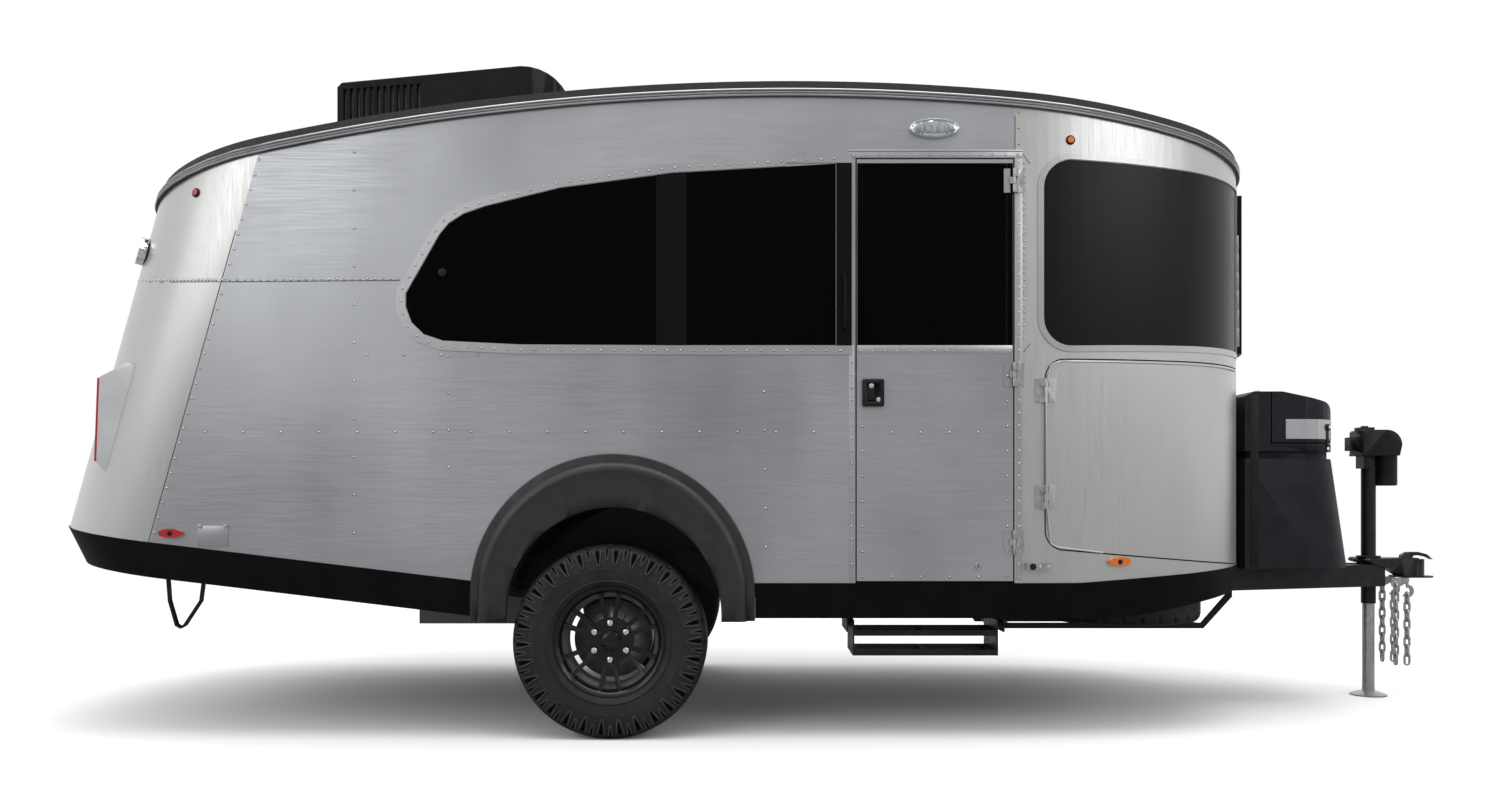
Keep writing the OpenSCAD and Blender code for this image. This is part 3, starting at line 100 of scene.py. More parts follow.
# Rivets of frames and plates, of strips and beside the nose window, as shares of the shell's radius
FRAME_RIVET, STRIP_RIVET, NOSE_RIVET = 0.9, 0.85, 0.8
# The middle line of the side window's frame, x and z in millimetres
WINDOW_FRAME = (
    (209, 1466), (209, 2190), (-430, 2154), (-850, 2098), (-1130, 2029), (-1220, 1998), (-1282, 1958),
    (-1320, 1911), (-1449, 1686), (-1449, 1626), (-1426, 1562), (-1376, 1511), (-1296, 1483),
    (-1000, 1469), (-430, 1466),
)
TYRE_LOW, TYRE_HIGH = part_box("tyre_near")
WHEEL_X, WHEEL_Y, WHEEL_Z = ((TYRE_LOW[i] + TYRE_HIGH[i]) / 2 for i in range(3))
BODY_SKIN = ("side_wall_near", "nose_wall", "tail_wall")
RAIL_SKIN = (
    "rain_rail", "nose_wall", "tail_wall", "side_wall_near", "side_wall_far", "roof", "window_glass",
    "tail_hatch", "tail_hatch_glass", "hinges",
)

# The finishes by name, filled in by make_finishes
FINISH = {}

# Rows on the skin: first and last pixel of the photograph, and the number of spots
SHELL_RIVETS = (
    ((259.2, 159.6), (154.0, 532.6), 26),
    ((354.3, 152.0), (354.3, 533.0), 11),
    ((222.0, 279.6), (398.0, 278.6), 24),
    ((128.0, 280.5), (216.0, 279.6), 26),
    ((1018.6, 112.0), (1018.6, 143.7), 3),
    ((205.0, 432.0), (813.8, 431.7), 17),
    ((764.0, 391.4), (766.0, 547.0), 5),
    ((448.0, 356.0), (449.0, 467.0), 4),
    ((367.0, 354.6), (478.0, 354.6), 4),
)
DOOR_RIVETS = (
    ((1007.7, 375.8), (1007.7, 576.0), 9),
    ((862.4, 426.0), (862.4, 576.6), 7),
    ((891.6, 576.6), (978.8, 576.6), 4),
    ((891.6, 432.3), (978.4, 432.3), 4),
)
PANEL_JOINTS = (
    ((257.5, 152.6), (148.4, 541.8), 6),
    ((128.0, 282.3), (250.0, 281.6), 12),
    ((250.0, 281.6), (400.0, 280.4), 3),
    ((1015.0, 98.0), (1015.0, 152.0), 4),
)
NOSE_WINDOW_RIVETS = ((1024.2, 163.0), (1024.2, 338.0), 28)
NOSE_WINDOW_CREASES = (((1023.0, 154.0), (1030.0, 164.0), 3), ((1023.5, 352.0), (1030.5, 343.5), 3))
NOSE_WINDOW_POST = ((1236.0, 236.0), (1236.8, 347.0), 7)


# Selection


def deselect():
    if bpy.context.object and bpy.context.object.mode != "OBJECT":
        bpy.ops.object.mode_set(mode="OBJECT")
    bpy.ops.object.select_all(action="DESELECT")


def edit_all(action="SELECT"):
    """Edit mode with everything selected, or nothing."""
    bpy.ops.object.mode_set(mode="EDIT")
    bpy.ops.mesh.select_all(action=action)


def leave_edit():
    bpy.ops.object.mode_set(mode="OBJECT")


def link(made):
    bpy.context.scene.collection.objects.link(made)
    return made


def pick(piece):
    deselect()
    piece.select_set(True)
    bpy.context.view_layer.objects.active = piece
    return piece


def apply_place(piece):
    pick(piece)
    bpy.ops.object.transform_apply(location=True, rotation=True, scale=True)
    return piece


def apply_modifier(piece, kind, **settings):
    pick(piece)
    modifier = piece.modifiers.new(kind.title(), kind)
    for key, value in settings.items():
        setattr(modifier, key, value)
    bpy.ops.object.modifier_apply(modifier=modifier.name)
    return piece


def smooth(piece, angle=30.0):
    pick(piece)
    bpy.ops.object.shade_smooth_by_angle(angle=math.radians(angle))
    return piece


def finished(piece, name, finish, body):
    """Names a piece, gives it its finish and lets it ride on its body."""
    apply_place(piece)
    piece.name = name
    piece.data.name = name
    piece.data.materials.clear()
    piece.data.materials.append(FINISH[finish])
    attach(piece, body)
    return piece


def joined(pieces, name, finish, body):
    deselect()
    for piece in pieces:
        piece.select_set(True)
    bpy.context.view_layer.objects.active = pieces[0]
    if len(pieces) > 1:
        bpy.ops.object.join()
    return finished(bpy.context.view_layer.objects.active, name, finish, body)


# Shapes


def block(low, high, bevel=0.002, segments=2):
    """A bevelled block between two corners."""
    deselect()
    low, high = Vector(low), Vector(high)
    bpy.ops.mesh.primitive_cube_add(size=1.0, location=(low + high) / 2)
    piece = bpy.context.object
    piece.scale = high - low
    apply_place(piece)
    if bevel > 0:
        apply_modifier(piece, "BEVEL", width=bevel, segments=segments, limit_method="ANGLE")
    return smooth(piece)


def turned(start, end, radius, sides=24, bevel=0.0):
    """A round bar from one point to another."""
    deselect()
    start, end = Vector(start), Vector(end)
    along = end - start
    bpy.ops.mesh.primitive_cone_add(
        vertices=sides,
        radius1=radius,
        radius2=radius,
        depth=along.length,
        location=(start + end) / 2,
        rotation=along.to_track_quat("Z", "Y").to_euler(),
    )
    piece = apply_place(bpy.context.object)
    if bevel > 0:
        limit = math.radians(50)
        apply_modifier(piece, "BEVEL", width=bevel, segments=2, limit_method="ANGLE", angle_limit=limit)
    return smooth(piece)


def rod(points, radius, sides=8, closed=False):
    """A round rod bent along points."""
    curve = bpy.data.curves.new("rod", "CURVE")
    curve.dimensions = "3D"
    curve.bevel_depth = radius
    curve.bevel_resolution = max(0, sides // 4 - 1)
    curve.use_fill_caps = True
    spline = curve.splines.new("POLY")
    spline.points.add(len(points) - 1)
    for point, place in zip(spline.points, points):
        point.co = (*place, 1.0)
    spline.use_cyclic_u = closed
    pick(link(bpy.data.objects.new("rod", curve)))
    bpy.ops.object.convert(target="MESH")
    return smooth(bpy.context.object, 50)


def bar(a, b, normal, width, height, bevel=0.0, sink=0.001):
    """A flat strip from a to b, that stands `height` proud of the skin."""
    deselect()
    a, b = Vector(a), Vector(b)
    along = b - a
    first = along.normalized()
    out = (normal - normal.dot(first) * first).normalized()
    bpy.ops.mesh.primitive_cube_add(size=1.0)
    piece = bpy.context.object
    piece.scale = (along.length, width, height + sink)
    apply_place(piece)
    if bevel > 0:
        apply_modifier(piece, "BEVEL", width=bevel, segments=2, limit_method="ANGLE")
        smooth(piece)
    turn = Matrix((first, out.cross(first), out)).transposed().to_4x4()
    piece.matrix_world = Matrix.Translation((a + b) / 2 + out * (height - sink) / 2) @ turn
    return apply_place(piece)


def moved_copy(piece, matrix):
    """A copy of a piece with its own mesh, moved, turned or mirrored."""
    made = link(piece.copy())
    made.data = piece.data.copy()
    made.matrix_world = matrix
    apply_place(made)
    if matrix.determinant() < 0:
        edit_all()
        bpy.ops.mesh.normals_make_consistent(inside=False)
        leave_edit()
    return made


def body_of(node):
    return frame["nodes"][node]["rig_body"]


def both_sides(pieces):
    return pieces + [moved_copy(piece, FAR) for piece in pieces]


def chain_of_bars(spots, width, height, bevel=0.0):
    """Flat strips from each spot of a row to the next."""
    made = []
    for (a, m), (b, n) in zip(spots, spots[1:]):
        over = (b - a).normalized() * LAP
        made.append(bar(a - over, b + over, (m + n).normalized(), width, height, bevel))
    return made


def finish_faces(piece, finishes, chosen):
    """Gives each face one of the finishes, by its centre and normal."""
    piece.data.materials.clear()
    for finish in finishes:
        piece.data.materials.append(FINISH[finish])
    for face in piece.data.polygons:
        face.material_index = finishes.index(chosen(face.center, face.normal))
    return piece


def skin_copy(node):
    """A merged copy of a CAD node's mesh, which can be shaded smooth or cut."""
    source = frame["nodes"][node]
    piece = source.copy()
    piece.data = source.data.copy()
    piece.parent = None
    piece.matrix_world = Matrix.Identity(4)
    for key in list(piece.keys()):
        del piece[key]
    pick(link(piece))
    edit_all()
    bpy.ops.mesh.remove_doubles(threshold=0.00002)
    leave_edit()
    return piece


def cut(piece, place, normal):
    """Keeps the part of a piece that lies behind a plane."""
    pick(piece)
    edit_all()
    bpy.ops.mesh.bisect(plane_co=place, plane_no=normal, clear_outer=True)
    leave_edit()
    return piece


# Skins

SKINS = {}


def skin(*nodes):
    if nodes not in SKINS:
        points, faces = [], []
        for node in nodes:
            mesh = frame["nodes"][node].data
            first = len(points)
            points += [v.co.copy() for v in mesh.vertices]
            faces += [[first + i for i in p.vertices] for p in mesh.polygons]
        SKINS[nodes] = BVHTree.FromPolygons(points, faces)
    return SKINS[nodes]


def seen_row(first, last, count, nodes):
    """Points and normals of the skin at evenly spread pixels of the photograph."""
    found = []
    for i in range(count):
        px = first[0] + (last[0] - first[0]) * i / (count - 1)
        py = first[1] + (last[1] - first[1]) * i / (count - 1)
        along = Vector(((px - HORIZON[0]) * PIXEL, 1.0, (HORIZON[1] - py) * PIXEL)).normalized()
        place, normal, _, _ = skin(*nodes).ray_cast(EYE, along)
        if place is not None:
            found.append((place, normal))
    if len(found) < count / 2:
        raise RuntimeError(f"little skin shows between {first} and {last}")
    return found


def seen_rows(rows, nodes):
    return [spot for row in rows for spot in seen_row(*row, nodes)]


def side_hit(x, z, nodes):
    """The point and normal of the near skin at x, z, or None twice."""
    return skin(*nodes).ray_cast(Vector((x, START_Y, z)), INWARDS)[:2]


def on_side(x, z, *nodes):
    """The point and normal of the near skin at x, z, which has to be there."""
    place, normal = side_hit(x, z, nodes)
    if place is None:
        raise RuntimeError(f"no skin at {x}, {z}")
    return place, normal


# Materials


def add_node(tree, kind, inputs=(), **settings):
    """A shader node with its settings, and its inputs given or linked."""
    made = tree.nodes.new("ShaderNode" + kind)
    for key, value in settings.items():
        setattr(made, key, value)
    for key, value in dict(inputs).items():
        if isinstance(value, bpy.types.NodeSocket):
            tree.links.new(value, made.inputs[key])
        else:
            made.inputs[key].default_value = value
    return made


class Shader:
    """Node tree of one finish, on Object coordinates."""

    def __init__(self, name, color, rough, metallic):
        self.material = bpy.data.materials.new(name)
        self.material.use_nodes = True
        self.tree = self.material.node_tree
        self.tree.nodes.clear()
        self.color = color
        constants = {"Base Color": (*color, 1.0), "Roughness": rough, "Metallic": metallic}
        self.bsdf = self.node("BsdfPrincipled", constants)
        self.node("OutputMaterial", {"Surface": self.bsdf.outputs["BSDF"]})
        self.place = self.node("TexCoord").outputs["Object"]

    def node(self, kind, inputs=(), **settings):
        return add_node(self.tree, kind, inputs, **settings)

    def lead(self, output, socket):
        self.tree.links.new(output, self.bsdf.inputs[socket])

    def noise(self, scale, detail=3.0, stretch=(1, 1, 1), roughness=0.5):
        mapping = self.node("Mapping", {"Vector": self.place, "Scale": stretch})
        settings = {"Scale": scale, "Detail": detail, "Roughness": roughness}
        return self.node("TexNoise", {"Vector": mapping.outputs["Vector"], **settings}).outputs["Fac"]

    def tint(self, value, dark, light, low=0.35, high=0.65):
        """Base colour between two shades of itself, led by a value."""
        ramp = self.node("ValToRGB", {"Fac": value})
        for element, position, share in zip(ramp.color_ramp.elements, (low, high), (dark, light)):
            element.position = position
            element.color = (*[min(1.0, c * share) for c in self.color], 1.0)
        self.lead(ramp.outputs["Color"], "Base Color")

    def blur(self, value, low, high):
        """Roughness between two values."""
        reach = {"From Min": 0.3, "From Max": 0.7, "To Min": low, "To Max": high}
        self.lead(self.node("MapRange", {"Value": value, **reach}).outputs["Result"], "Roughness")

    def bump(self, value, strength, distance):
        bump = self.node("Bump", {"Strength": strength, "Distance": distance, "Height": value})
        self.lead(bump.outputs["Normal"], "Normal")


def make_finish(key, name, color, rough, metallic=0.0, tint=None, blur=None, bump=None, **sockets):
    """Makes a finish. Its tint, blur and bump each begin with their noise."""
    shader = Shader(name, color, rough, metallic)
    for act, values in ((shader.tint, tint), (shader.blur, blur), (shader.bump, bump)):
        if values:
            act(shader.noise(*values[0]), *values[1:])
    for socket, value in sockets.items():
        shader.bsdf.inputs[socket.replace("_", " ")].default_value = value
    FINISH[key] = shader.material
    return shader


def make_finishes():
    # Rolling marks run along the sheets: along X on the sides, upright on nose and tail
    along, upright, plain = (0.02, 1, 1), (1, 1, 0.02), (1, 1, 1)

    # Bare metals
    sheet = make_finish("sheet", "riveted_sheet", looks().sheet_color, 0.36, 0.92,
                        blur=((320, 2.0, along), 0.30, 0.44), bump=((700, 2.0, along), 0.05, 0.0006))
    streaks, patches = sheet.noise(3.2, 2.0, (1, 1, 0.35)), sheet.noise(1.1, 2.0, (1, 1, 0.8))
    clouds = sheet.node("Math", {0: streaks, 1: 0.35, 2: patches}, operation="MULTIPLY_ADD")
    sheet.tint(clouds.outputs["Value"], 0.84, 1.16, 0.5, 0.85)
    # Nose, tail and storage doors: the sides' aluminium painted lighter for the light their rounded faces
    # catch,
    # with upright streaks of painted reflection
    make_finish("lit_rolled", "lit_rolled_sheet", looks().lit_rolled_color, 0.34, 0.9,
                ((1.3, 2.0, (1, 1, 0.3)), 0.9, 1.1),
                ((320, 2.0, upright), 0.28, 0.42), ((700, 2.0, upright), 0.05, 0.0006))
    make_finish("trim", "bright_trim", (0.46, 0.465, 0.475), 0.30, 0.88, ((4, 2.0), 0.95, 1.04),
                ((60, 2.0), 0.28, 0.34))
    make_finish("strip", "riveted_strip", (0.48, 0.485, 0.50), 0.34, 0.9, ((4, 2.0), 0.94, 1.04),
                ((60, 2.0), 0.30, 0.38))
    make_finish("cast", "cast_housing", (0.50, 0.51, 0.52), 0.42, 0.75, ((6, 3.0), 0.92, 1.07),
                bump=((900, 3.0), 0.12, 0.0008))
    make_finish("rivet", "rivet_heads", (0.66, 0.67, 0.69), 0.26, 0.9, ((40, 1.0), 0.8, 1.1))
    # Dark discs under the rivet heads: painted shade round each rivet
    make_finish("painted_rivet_shade", "rivet_shade_discs", (0.17, 0.17, 0.18), 0.4, 0.8, ((60, 2.0), 0.7, 1.2))
    make_finish("seam", "panel_joint", (0.10, 0.10, 0.105), 0.55, 0.4, ((50, 2.0), 0.7, 1.3))
    make_finish("steel", "zinc_steel", (0.42, 0.42, 0.41), 0.38, 0.85, ((40, 3.0), 0.84, 1.08),
                ((60, 3.0), 0.30, 0.44))
    make_finish("chrome", "chrome", (0.75, 0.75, 0.76), 0.08, 1.0, blur=((50, 2.0), 0.05, 0.14))
    make_finish("fins", "cooler_fins", (0.45, 0.46, 0.48), 0.4, 0.5, ((20, 3.0), 0.85, 1.1))

    # Coatings and plastics
    make_finish("roof", "roof_coating", looks().roof_color, 0.62, 0.0,
                ((260, 1.0, plain, 0.3), 1.0, 10.0, 0.68, 0.76), bump=((420, 3.0), 0.35, 0.002))
    make_finish("plastic", "grained_plastic", (0.010, 0.010, 0.011), 0.42, 0.0, ((14, 3.0), 0.8, 1.35),
                ((60, 3.0), 0.34, 0.52), ((900, 4.0), 0.45, 0.0012), Specular_IOR_Level=0.18)
    make_finish("flare", "flare_plastic", looks().flare_color, 0.36, 0.0, ((14, 3.0), 0.85, 1.25),
                ((60, 3.0), 0.30, 0.44), ((900, 4.0), 0.3, 0.0010), Specular_IOR_Level=0.42)
    make_finish("cover", "cooler_cover", (0.0055, 0.0055, 0.006), 0.46, 0.0, ((14, 3.0), 0.8, 1.3),
                bump=((900, 4.0), 0.4, 0.0012), Specular_IOR_Level=0.12)
    make_finish("skirt", "skirt_plastic", (0.0035, 0.0035, 0.004), 0.5, 0.0, ((10, 3.0), 0.8, 1.3),
                bump=((700, 3.0), 0.2, 0.0008), Specular_IOR_Level=0.05)
    make_finish("tub", "gas_box_plastic", looks().gas_box_color, 0.44, 0.0, ((10, 3.0), 0.85, 1.2),
                bump=((1100, 3.0), 0.3, 0.0008), Specular_IOR_Level=0.12)
    # Grey plastic, made darker to paint the shade the tanks lie in under the floor
    make_finish("tank", "shaded_tank_plastic", (0.16, 0.165, 0.17), 0.5, 0.0, ((5, 3.0), 0.9, 1.08),
                bump=((300, 3.0), 0.15, 0.001))
    make_finish("board", "sealed_board", (0.09, 0.08, 0.07), 0.7, 0.0, ((30, 4.0, (0.1, 1, 1)), 0.7, 1.25))
    make_finish("bottle", "bottle_paint", (0.75, 0.75, 0.74), 0.25, 0.0, ((8, 3.0), 0.95, 1.03))
    make_finish("paint", "frame_paint", (0.009, 0.009, 0.010), 0.36, 0.0, ((18, 3.0), 0.8, 1.5),
                ((45, 4.0), 0.28, 0.48), ((260, 3.0), 0.12, 0.0008), Specular_IOR_Level=0.25)
    make_finish("gloss", "gloss_black", (0.006, 0.006, 0.006), 0.12, blur=((30, 3.0), 0.08, 0.18),
                Coat_Weight=0.2, Coat_Roughness=0.05, Specular_IOR_Level=0.25)
    make_finish("pillar", "pillar_black", (0.004, 0.004, 0.004), 0.2, blur=((30, 3.0), 0.16, 0.26),
                Specular_IOR_Level=0.1)

    # Rubbers
    make_finish("rubber", "tyre_rubber", (0.016, 0.016, 0.016), 0.62, 0.0, ((9, 4.0), 0.75, 1.4),
                ((40, 3.0), 0.50, 0.70), ((500, 4.0), 0.25, 0.0015), Specular_IOR_Level=0.3)
    # Lighter rubber on the tyres' raised ribs: painted highlight where they catch the light
    make_finish("rib_highlight", "rib_highlight_rubber", (0.034, 0.034, 0.034), 0.55, 0.0, ((30, 3.0), 0.7, 1.3),
                Specular_IOR_Level=0.4)
    # Near-black strips between the tyres' paired ribs: painted shade of the hollow between them
    make_finish("painted_hollow_shade", "tyre_hollow_shade", (0.003, 0.003, 0.003), 0.9, 0.0, ((60, 2.0), 0.7, 1.2),
                Specular_IOR_Level=0.05)

    # Panes and lenses
    make_finish("glass", "dark_glass", (0.0015, 0.0015, 0.0018), 0.04, blur=((2.0, 2.0), 0.03, 0.06),
                Specular_IOR_Level=0.03)
    make_finish("curved", "curved_glass", (0.0012, 0.0012, 0.0015), 0.30, blur=((2.0, 2.0), 0.28, 0.34),
                Specular_IOR_Level=0.2)
    lenses = {"red": (0.42, 0.008, 0.01), "amber": (0.75, 0.16, 0.01), "clear": (0.30, 0.33, 0.37)}
    for key, color in lenses.items():
        make_finish(key, key + "_lens", color, 0.12, 0.0, ((120, 2.0), 0.8, 1.15),
                    Coat_Weight=0.7, Coat_Roughness=0.04)


# node: (finish, smoothing angle or None where the CAD mesh is shown as it is)
DRESS = {
    "side_wall_near": ("sheet", None),
    "side_wall_far": ("sheet", None),
    "nose_wall": ("lit_rolled", 20),
    "tail_wall": ("lit_rolled", 20),
    "roof": ("roof", 20),
    "rain_rail": ("seam", 20),
    "floor": ("board", None),
    "skirts": ("skirt", 20),
    "wheel_flares": ("flare", 50),
    "wheel_wells": ("plastic", 30),
    "window_frames": ("trim", 20),
    "window_glass": ("glass", 20),
    "window_pillars": ("pillar", None),
    "entry_door": ("sheet", None),
    "entry_door_glass": ("glass", None),
    "entry_door_handle": ("plastic", None),
    "storage_door_near": ("lit_rolled", 20),
    "storage_door_far": ("lit_rolled", 20),
    "tail_hatch": ("gloss", 20),
    "tail_hatch_glass": ("glass", 20),
    "tail_hatch_handle": ("plastic", 20),
    "tail_lamp_housings": ("cast", 30),
    "lamps": ("red", 30),
    "air_conditioner": ("cover", 40),
    "chassis_frame": ("paint", None),
    "water_tanks": ("tank", None),
    "axle": ("paint", 30),
    "hub_near": ("steel", 30),
    "rim_near": ("gloss", 30),
    "tyre_near": ("rubber", 40),
    "hub_far": ("steel", 30),
    "rim_far": ("gloss", 30),
    "tyre_far": ("rubber", 40),
    "coupler": ("paint", 30),
    "jack_tube": ("paint", 30),
    "jack_leg": ("steel", 30),
    "jack_head": ("plastic", 30),
    "gas_box": ("tub", 30),
    "gas_box_lid": ("tub", 30),
    "gas_bottles": ("bottle", 30),
    "underbody_brackets": ("paint", 30),
    "step_links": ("paint", 30),
    "step_treads": ("paint", None),
    "spare_tyre": ("rubber", 40),
    "spare_rim": ("steel", 30),
    "safety_chains": ("steel", 30),
    "hinges": ("steel", 30),
}


def lamp_finish(place, _):
    """Red behind, amber in front, clear for the porch light and the ovals of the tail."""
    half_length, half_height, face_y = 0.071, 0.023, 1.045
    tail_x, ovals_z, oval_reach = -2.45, 1.7, 0.8
    if place.x > NOSE_START:
        return "amber"
    if place.x > 0:
        flat = abs(place.x - PORCH_X) < half_length and abs(place.z - PORCH_Z) < half_height
        return "clear" if flat and abs(place.y) > face_y else "chrome"
    if place.x < tail_x and place.z > ovals_z:
        across = math.hypot((abs(place.y) - OVAL_Y) / 0.080, (place.z - OVAL_Z) / 0.056)
        return "clear" if across < oval_reach else "chrome"
    return "red"


def rim_finish(place, normal):
    """Bare metal on the barrel behind the spokes, black on the face."""
    inner, outer, face_depth = 0.160, 0.195, 0.05
    middle = Vector((WHEEL_X, place.y, WHEEL_Z))
    reach = (place - middle).length
    depth = abs(place.y) - abs(WHEEL_Y)
    inwards = normal.dot(place - middle) < 0
    return "steel" if inwards and inner < reach < outer and depth < face_depth else "gloss"


def hub_finish(place, _):
    """Bright nuts and a black cap on a steel hub."""
    face_depth, cap_radius = 0.046, 0.05
    if abs(place.y) < abs(WHEEL_Y) + face_depth:
        return "steel"
    return "chrome" if math.hypot(place.x - WHEEL_X, place.z - WHEEL_Z) > cap_radius else "gloss"


def glass_finish(place, _):
    """The wrapped nose panes shine more than the flat side panes."""
    return "curved" if place.x > NOSE_START else "glass"


MIXED = {
    "window_glass": (("glass", "curved"), glass_finish),
    "lamps": (("red", "amber", "clear", "chrome"), lamp_finish),
    "rim_near": (("gloss", "steel"), rim_finish),
    "rim_far": (("gloss", "steel"), rim_finish),
    "hub_near": (("steel", "chrome", "gloss"), hub_finish),
    "hub_far": (("steel", "chrome", "gloss"), hub_finish),
}


def dress_nodes():
    for node, (finish, angle) in DRESS.items():
        cad = frame["nodes"][node]
        cad.data.materials.clear()
        cad.data.materials.append(FINISH[finish])
        if angle is None:
            continue
        piece = smooth(skin_copy(node), angle)
        apply_modifier(piece, "WEIGHTED_NORMAL", keep_sharp=True)
        finished(piece, node + "_skin", finish, cad["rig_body"])
        if node in MIXED:
            finish_faces(piece, *MIXED[node])
        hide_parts(node)


# Rivets


def rivet_master(radius, height):
    """A domed head that reaches a little into the skin."""
    sunk = 0.0004
    deselect()
    bpy.ops.mesh.primitive_uv_sphere_add(segments=8, ring_count=6, radius=radius)
    piece = bpy.context.object
    piece.scale = (1, 1, height / radius)
    apply_place(piece)
    cut(piece, (0, 0, -sunk), (0, 0, -1))
    return smooth(piece, 60)


def shade_disc_master(radius):
    """A flat disc, a little wider than the head that stands in it, that carries the painted shade."""
    wider, thickness = 1.35, 0.0003
    deselect()
    bpy.ops.mesh.primitive_circle_add(vertices=10, radius=radius * wider, fill_type="NGON")
    edit_all()
    bpy.ops.mesh.extrude_region_move(TRANSFORM_OT_translate={"value": (0, 0, thickness)})
    bpy.ops.mesh.select_all(action="SELECT")
    bpy.ops.mesh.normals_make_consistent(inside=False)
    leave_edit()
    return bpy.context.object


def spread_copies(master, places, far):
    """A copy of a small piece at each point of the skin, standing along its normal."""
    copies = []
    for place, normal in places:
        for side in (1, -1) if far else (1,):
            spot = Vector((place.x, place.y * side, place.z))
            out = Vector((normal.x, normal.y * side, normal.z))
            made = link(bpy.data.objects.new("copy", master.data.copy()))
            made.data.transform(Matrix.Translation(spot) @ out.to_track_quat("Z", "Y").to_matrix().to_4x4())
            copies.append(made)
    bpy.data.objects.remove(master)
    return copies


def rivets(name, places, body, radius, far=True):
    """Rivet heads on discs of painted shade, at points of the skin and the same points of the far side."""
    height, slot = 0.0024, "trim"
    # Dark discs of painted shade under the heads
    shade_discs = spread_copies(shade_disc_master(radius), places, far)
    joined(shade_discs, name + "_shade_discs", "painted_rivet_shade", body)
    heads = spread_copies(rivet_master(radius, height), places, far)
    return joined(heads, name, "rivet", body)


def along_loop(points, step):
    """Points every `step` along a closed path."""
    made, left = [], 0.0
    for a, b in zip(points, points[1:] + points[:1]):
        length = math.dist(a, b)
        at = left
        while at < length:
            made.append((a[0] + (b[0] - a[0]) * at / length, a[1] + (b[1] - a[1]) * at / length))
            at += step
        left = at - length
    return made


# Settings


def color_setting(name, description, color):
    return bpy.props.FloatVectorProperty(
        name=name, description=description, default=color, min=0.0, max=1.0, size=3, subtype="COLOR",
    )


class CaravanLooks(bpy.types.PropertyGroup):
    """Sizes and colours a user would change."""

    rivet_radius: bpy.props.FloatProperty(
        name="Rivet radius", description="Radius of the rivet heads",
        default=0.0044, min=0.003, max=0.006, unit="LENGTH", subtype="DISTANCE",
    )
    rivet_step: bpy.props.FloatProperty(
        name="Window rivet spacing", description="Distance between rivets of the window frames",
        default=0.050, min=0.03, max=0.08, unit="LENGTH", subtype="DISTANCE",
    )
    joint_width: bpy.props.FloatProperty(
        name="Panel joint width", description="Width of the dark line where panels overlap",
        default=0.0035, min=0.001, max=0.006, unit="LENGTH", subtype="DISTANCE",
    )
    sheet_color: color_setting("Side sheets", "Bare metal of the flat sides", (0.40, 0.41, 0.43))
    # Nose and tail are the sides' metal painted lighter, for the light their rounded faces catch
    lit_rolled_color: color_setting("Nose and tail", "Bare metal of the rolled sheets", (0.50, 0.50, 0.495))
    roof_color: color_setting("Roof", "Coating of the roof", (0.012, 0.012, 0.013))
    flare_color: color_setting("Wheel flares", "Plastic of the wheel flares", (0.018, 0.018, 0.019))
    gas_box_color: color_setting("Gas box", "Plastic of the gas box and its lid", (0.015, 0.0165, 0.020))


def looks():
    return bpy.context.scene.caravan_looks


# Operators


class CARAVAN_OT_finishes(bpy.types.Operator):
    """Make the caravan's finishes and dress every part of the frame with them"""

    bl_idname = "caravan.finishes"
    bl_label = "Finishes"

    def execute(self, context):
        make_finishes()
        dress_nodes()
        return {"FINISHED"}


class CARAVAN_OT_rivet_rows(bpy.types.Operator):
    """Rivet rows of the shell, the door and the window frames"""

    bl_idname = "caravan.rivet_rows"
    bl_label = "Rivet rows"

    def execute(self, context):
        size, frames = looks().rivet_radius, ("window_frames",)
        rivets("rivets_shell", seen_rows(SHELL_RIVETS, BODY_SKIN), "body", size)
        outline = along_loop(WINDOW_FRAME, looks().rivet_step / MM)
        hits = [side_hit(x * MM, z * MM, frames) for x, z in outline]
        hits = [hit for hit in hits if hit[0] is not None]
        rivets("rivets_window_frames", hits, "body", size * FRAME_RIVET)
        door = seen_rows(DOOR_RIVETS, ("entry_door",))
        rivets("rivets_entry_door", door, "entry_door", size, far=False)
        return {"FINISHED"}


class CARAVAN_OT_rain_rail(bpy.types.Operator):
    """Bright ribs of the rain rail, all round the roof's edge"""

    bl_idname = "caravan.rain_rail"
    bl_label = "Rain rail"

    def execute(self, context):
        turns, nears = 140, 6
        middle_x, half_length, half_width = -0.35, 2.4, 1.05
        first_guess, ray_start = 2.5, 4.0
        ribs = []
        # Each rib's share of the rail's height, and its radius
        for share, radius in ((0.16, 0.0042), (0.50, 0.0036), (0.84, 0.0042)):
            level = RAIL_RADIUS + RAIL_HEIGHT * share
            spots = []
            for i in range(turns):
                angle = math.tau * i / turns
                way = Vector((math.cos(angle) * half_length, math.sin(angle) * half_width, 0)).normalized()
                place = Vector((middle_x, 0.0, 0.0)) + way * first_guess
                for _ in range(nears):
                    z = ROOF_CENTRE[1] + math.sqrt(level ** 2 - (place.x - ROOF_CENTRE[0]) ** 2)
                    start = Vector((middle_x, 0.0, z)) + way * ray_start
                    place = skin(*RAIL_SKIN).ray_cast(start, -way)[0]
                    if place is None:
                        raise RuntimeError(f"the rain rail isn't met at turn {i}")
                spots.append(place)
            ribs.append(rod(spots, radius, closed=True))
        joined(ribs, "rain_rail_ribs", "trim", "body")
        return {"FINISHED"}


